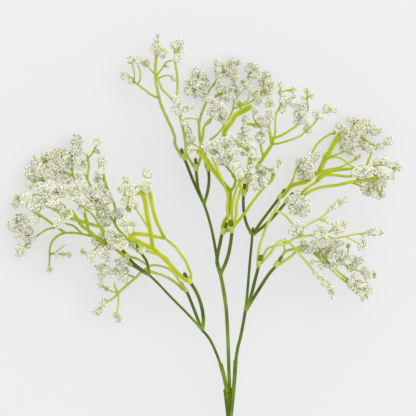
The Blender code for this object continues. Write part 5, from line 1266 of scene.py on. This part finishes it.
def add_floor():
    """A flat square grid of points at the height on which the solids rest."""
    bottom = CAD_BOX[0][2] - FLOOR_GAP
    line = np.linspace(-FLOOR_SIDE / 2, FLOOR_SIDE / 2, FLOOR_CELLS + 1)
    x, y = np.meshgrid(line, line)
    points = np.stack([x.ravel(), y.ravel(), np.full(x.size, bottom)], axis=1)
    i, j = np.meshgrid(np.arange(FLOOR_CELLS), np.arange(FLOOR_CELLS), indexing="ij")
    a = (i * (FLOOR_CELLS + 1) + j).ravel()
    faces = np.stack([a, a + 1, a + FLOOR_CELLS + 2, a + FLOOR_CELLS + 1], axis=1)
    mesh = bpy.data.meshes.new("floor")
    mesh.from_pydata(points.tolist(), [], faces.tolist())
    floor = bpy.data.objects.new("floor", mesh)
    bpy.context.scene.collection.objects.link(floor)
    paper = bpy.data.materials.new("floor_paper")
    paper.use_nodes = True
    shader = paper.node_tree.nodes["Principled BSDF"]
    shader.inputs["Base Color"].default_value = FLOOR_COLOUR
    shader.inputs["Emission Color"].default_value = FLOOR_GLOW
    shader.inputs["Emission Strength"].default_value = FLOOR_GLOW_STRENGTH
    shader.inputs["Roughness"].default_value = 1.0
    shader.inputs["Specular IOR Level"].default_value = 0.0
    mesh.materials.append(paper)
    return floor


floor = add_floor()
print("floor at", round(floor.data.vertices[0].co.z * 1000, 2), "mm")

# %% Light
SKY_COLOUR = (1.0, 1.0, 1.0, 1.0)
SKY_STRENGTH = 1.04


def add_lamp(name, place, turn, size, watts, colour):
    """A square area lamp, aimed by its turn in degrees."""
    data = bpy.data.lights.new(name, "AREA")
    data.size = size
    data.energy = watts
    data.color = colour
    lamp = bpy.data.objects.new(name, data)
    lamp.location = place
    lamp.rotation_euler = Euler([math.radians(t) for t in turn])
    bpy.context.scene.collection.objects.link(lamp)
    return lamp


def add_sky():
    """An even white sky."""
    world = bpy.data.worlds.new("studio_sky")
    world.use_nodes = True
    background = world.node_tree.nodes["Background"]
    background.inputs["Color"].default_value = SKY_COLOUR
    background.inputs["Strength"].default_value = SKY_STRENGTH
    bpy.context.scene.world = world


add_lamp("key_lamp", place=(0.9, 0.7, 2.2), turn=(-17.0, 22.0, 0.0), size=2.4, watts=22.0,
         colour=(1.0, 0.99, 0.97))
add_sky()
bpy.context.scene.view_settings.view_transform = "Standard"

# %% [markdown]
# ## The box of the solids
# The box around the CAD solids is printed. The dressed model may not outgrow the solids.

# %% Finish
print("cad box", np.round(CAD_BOX, 4).tolist())
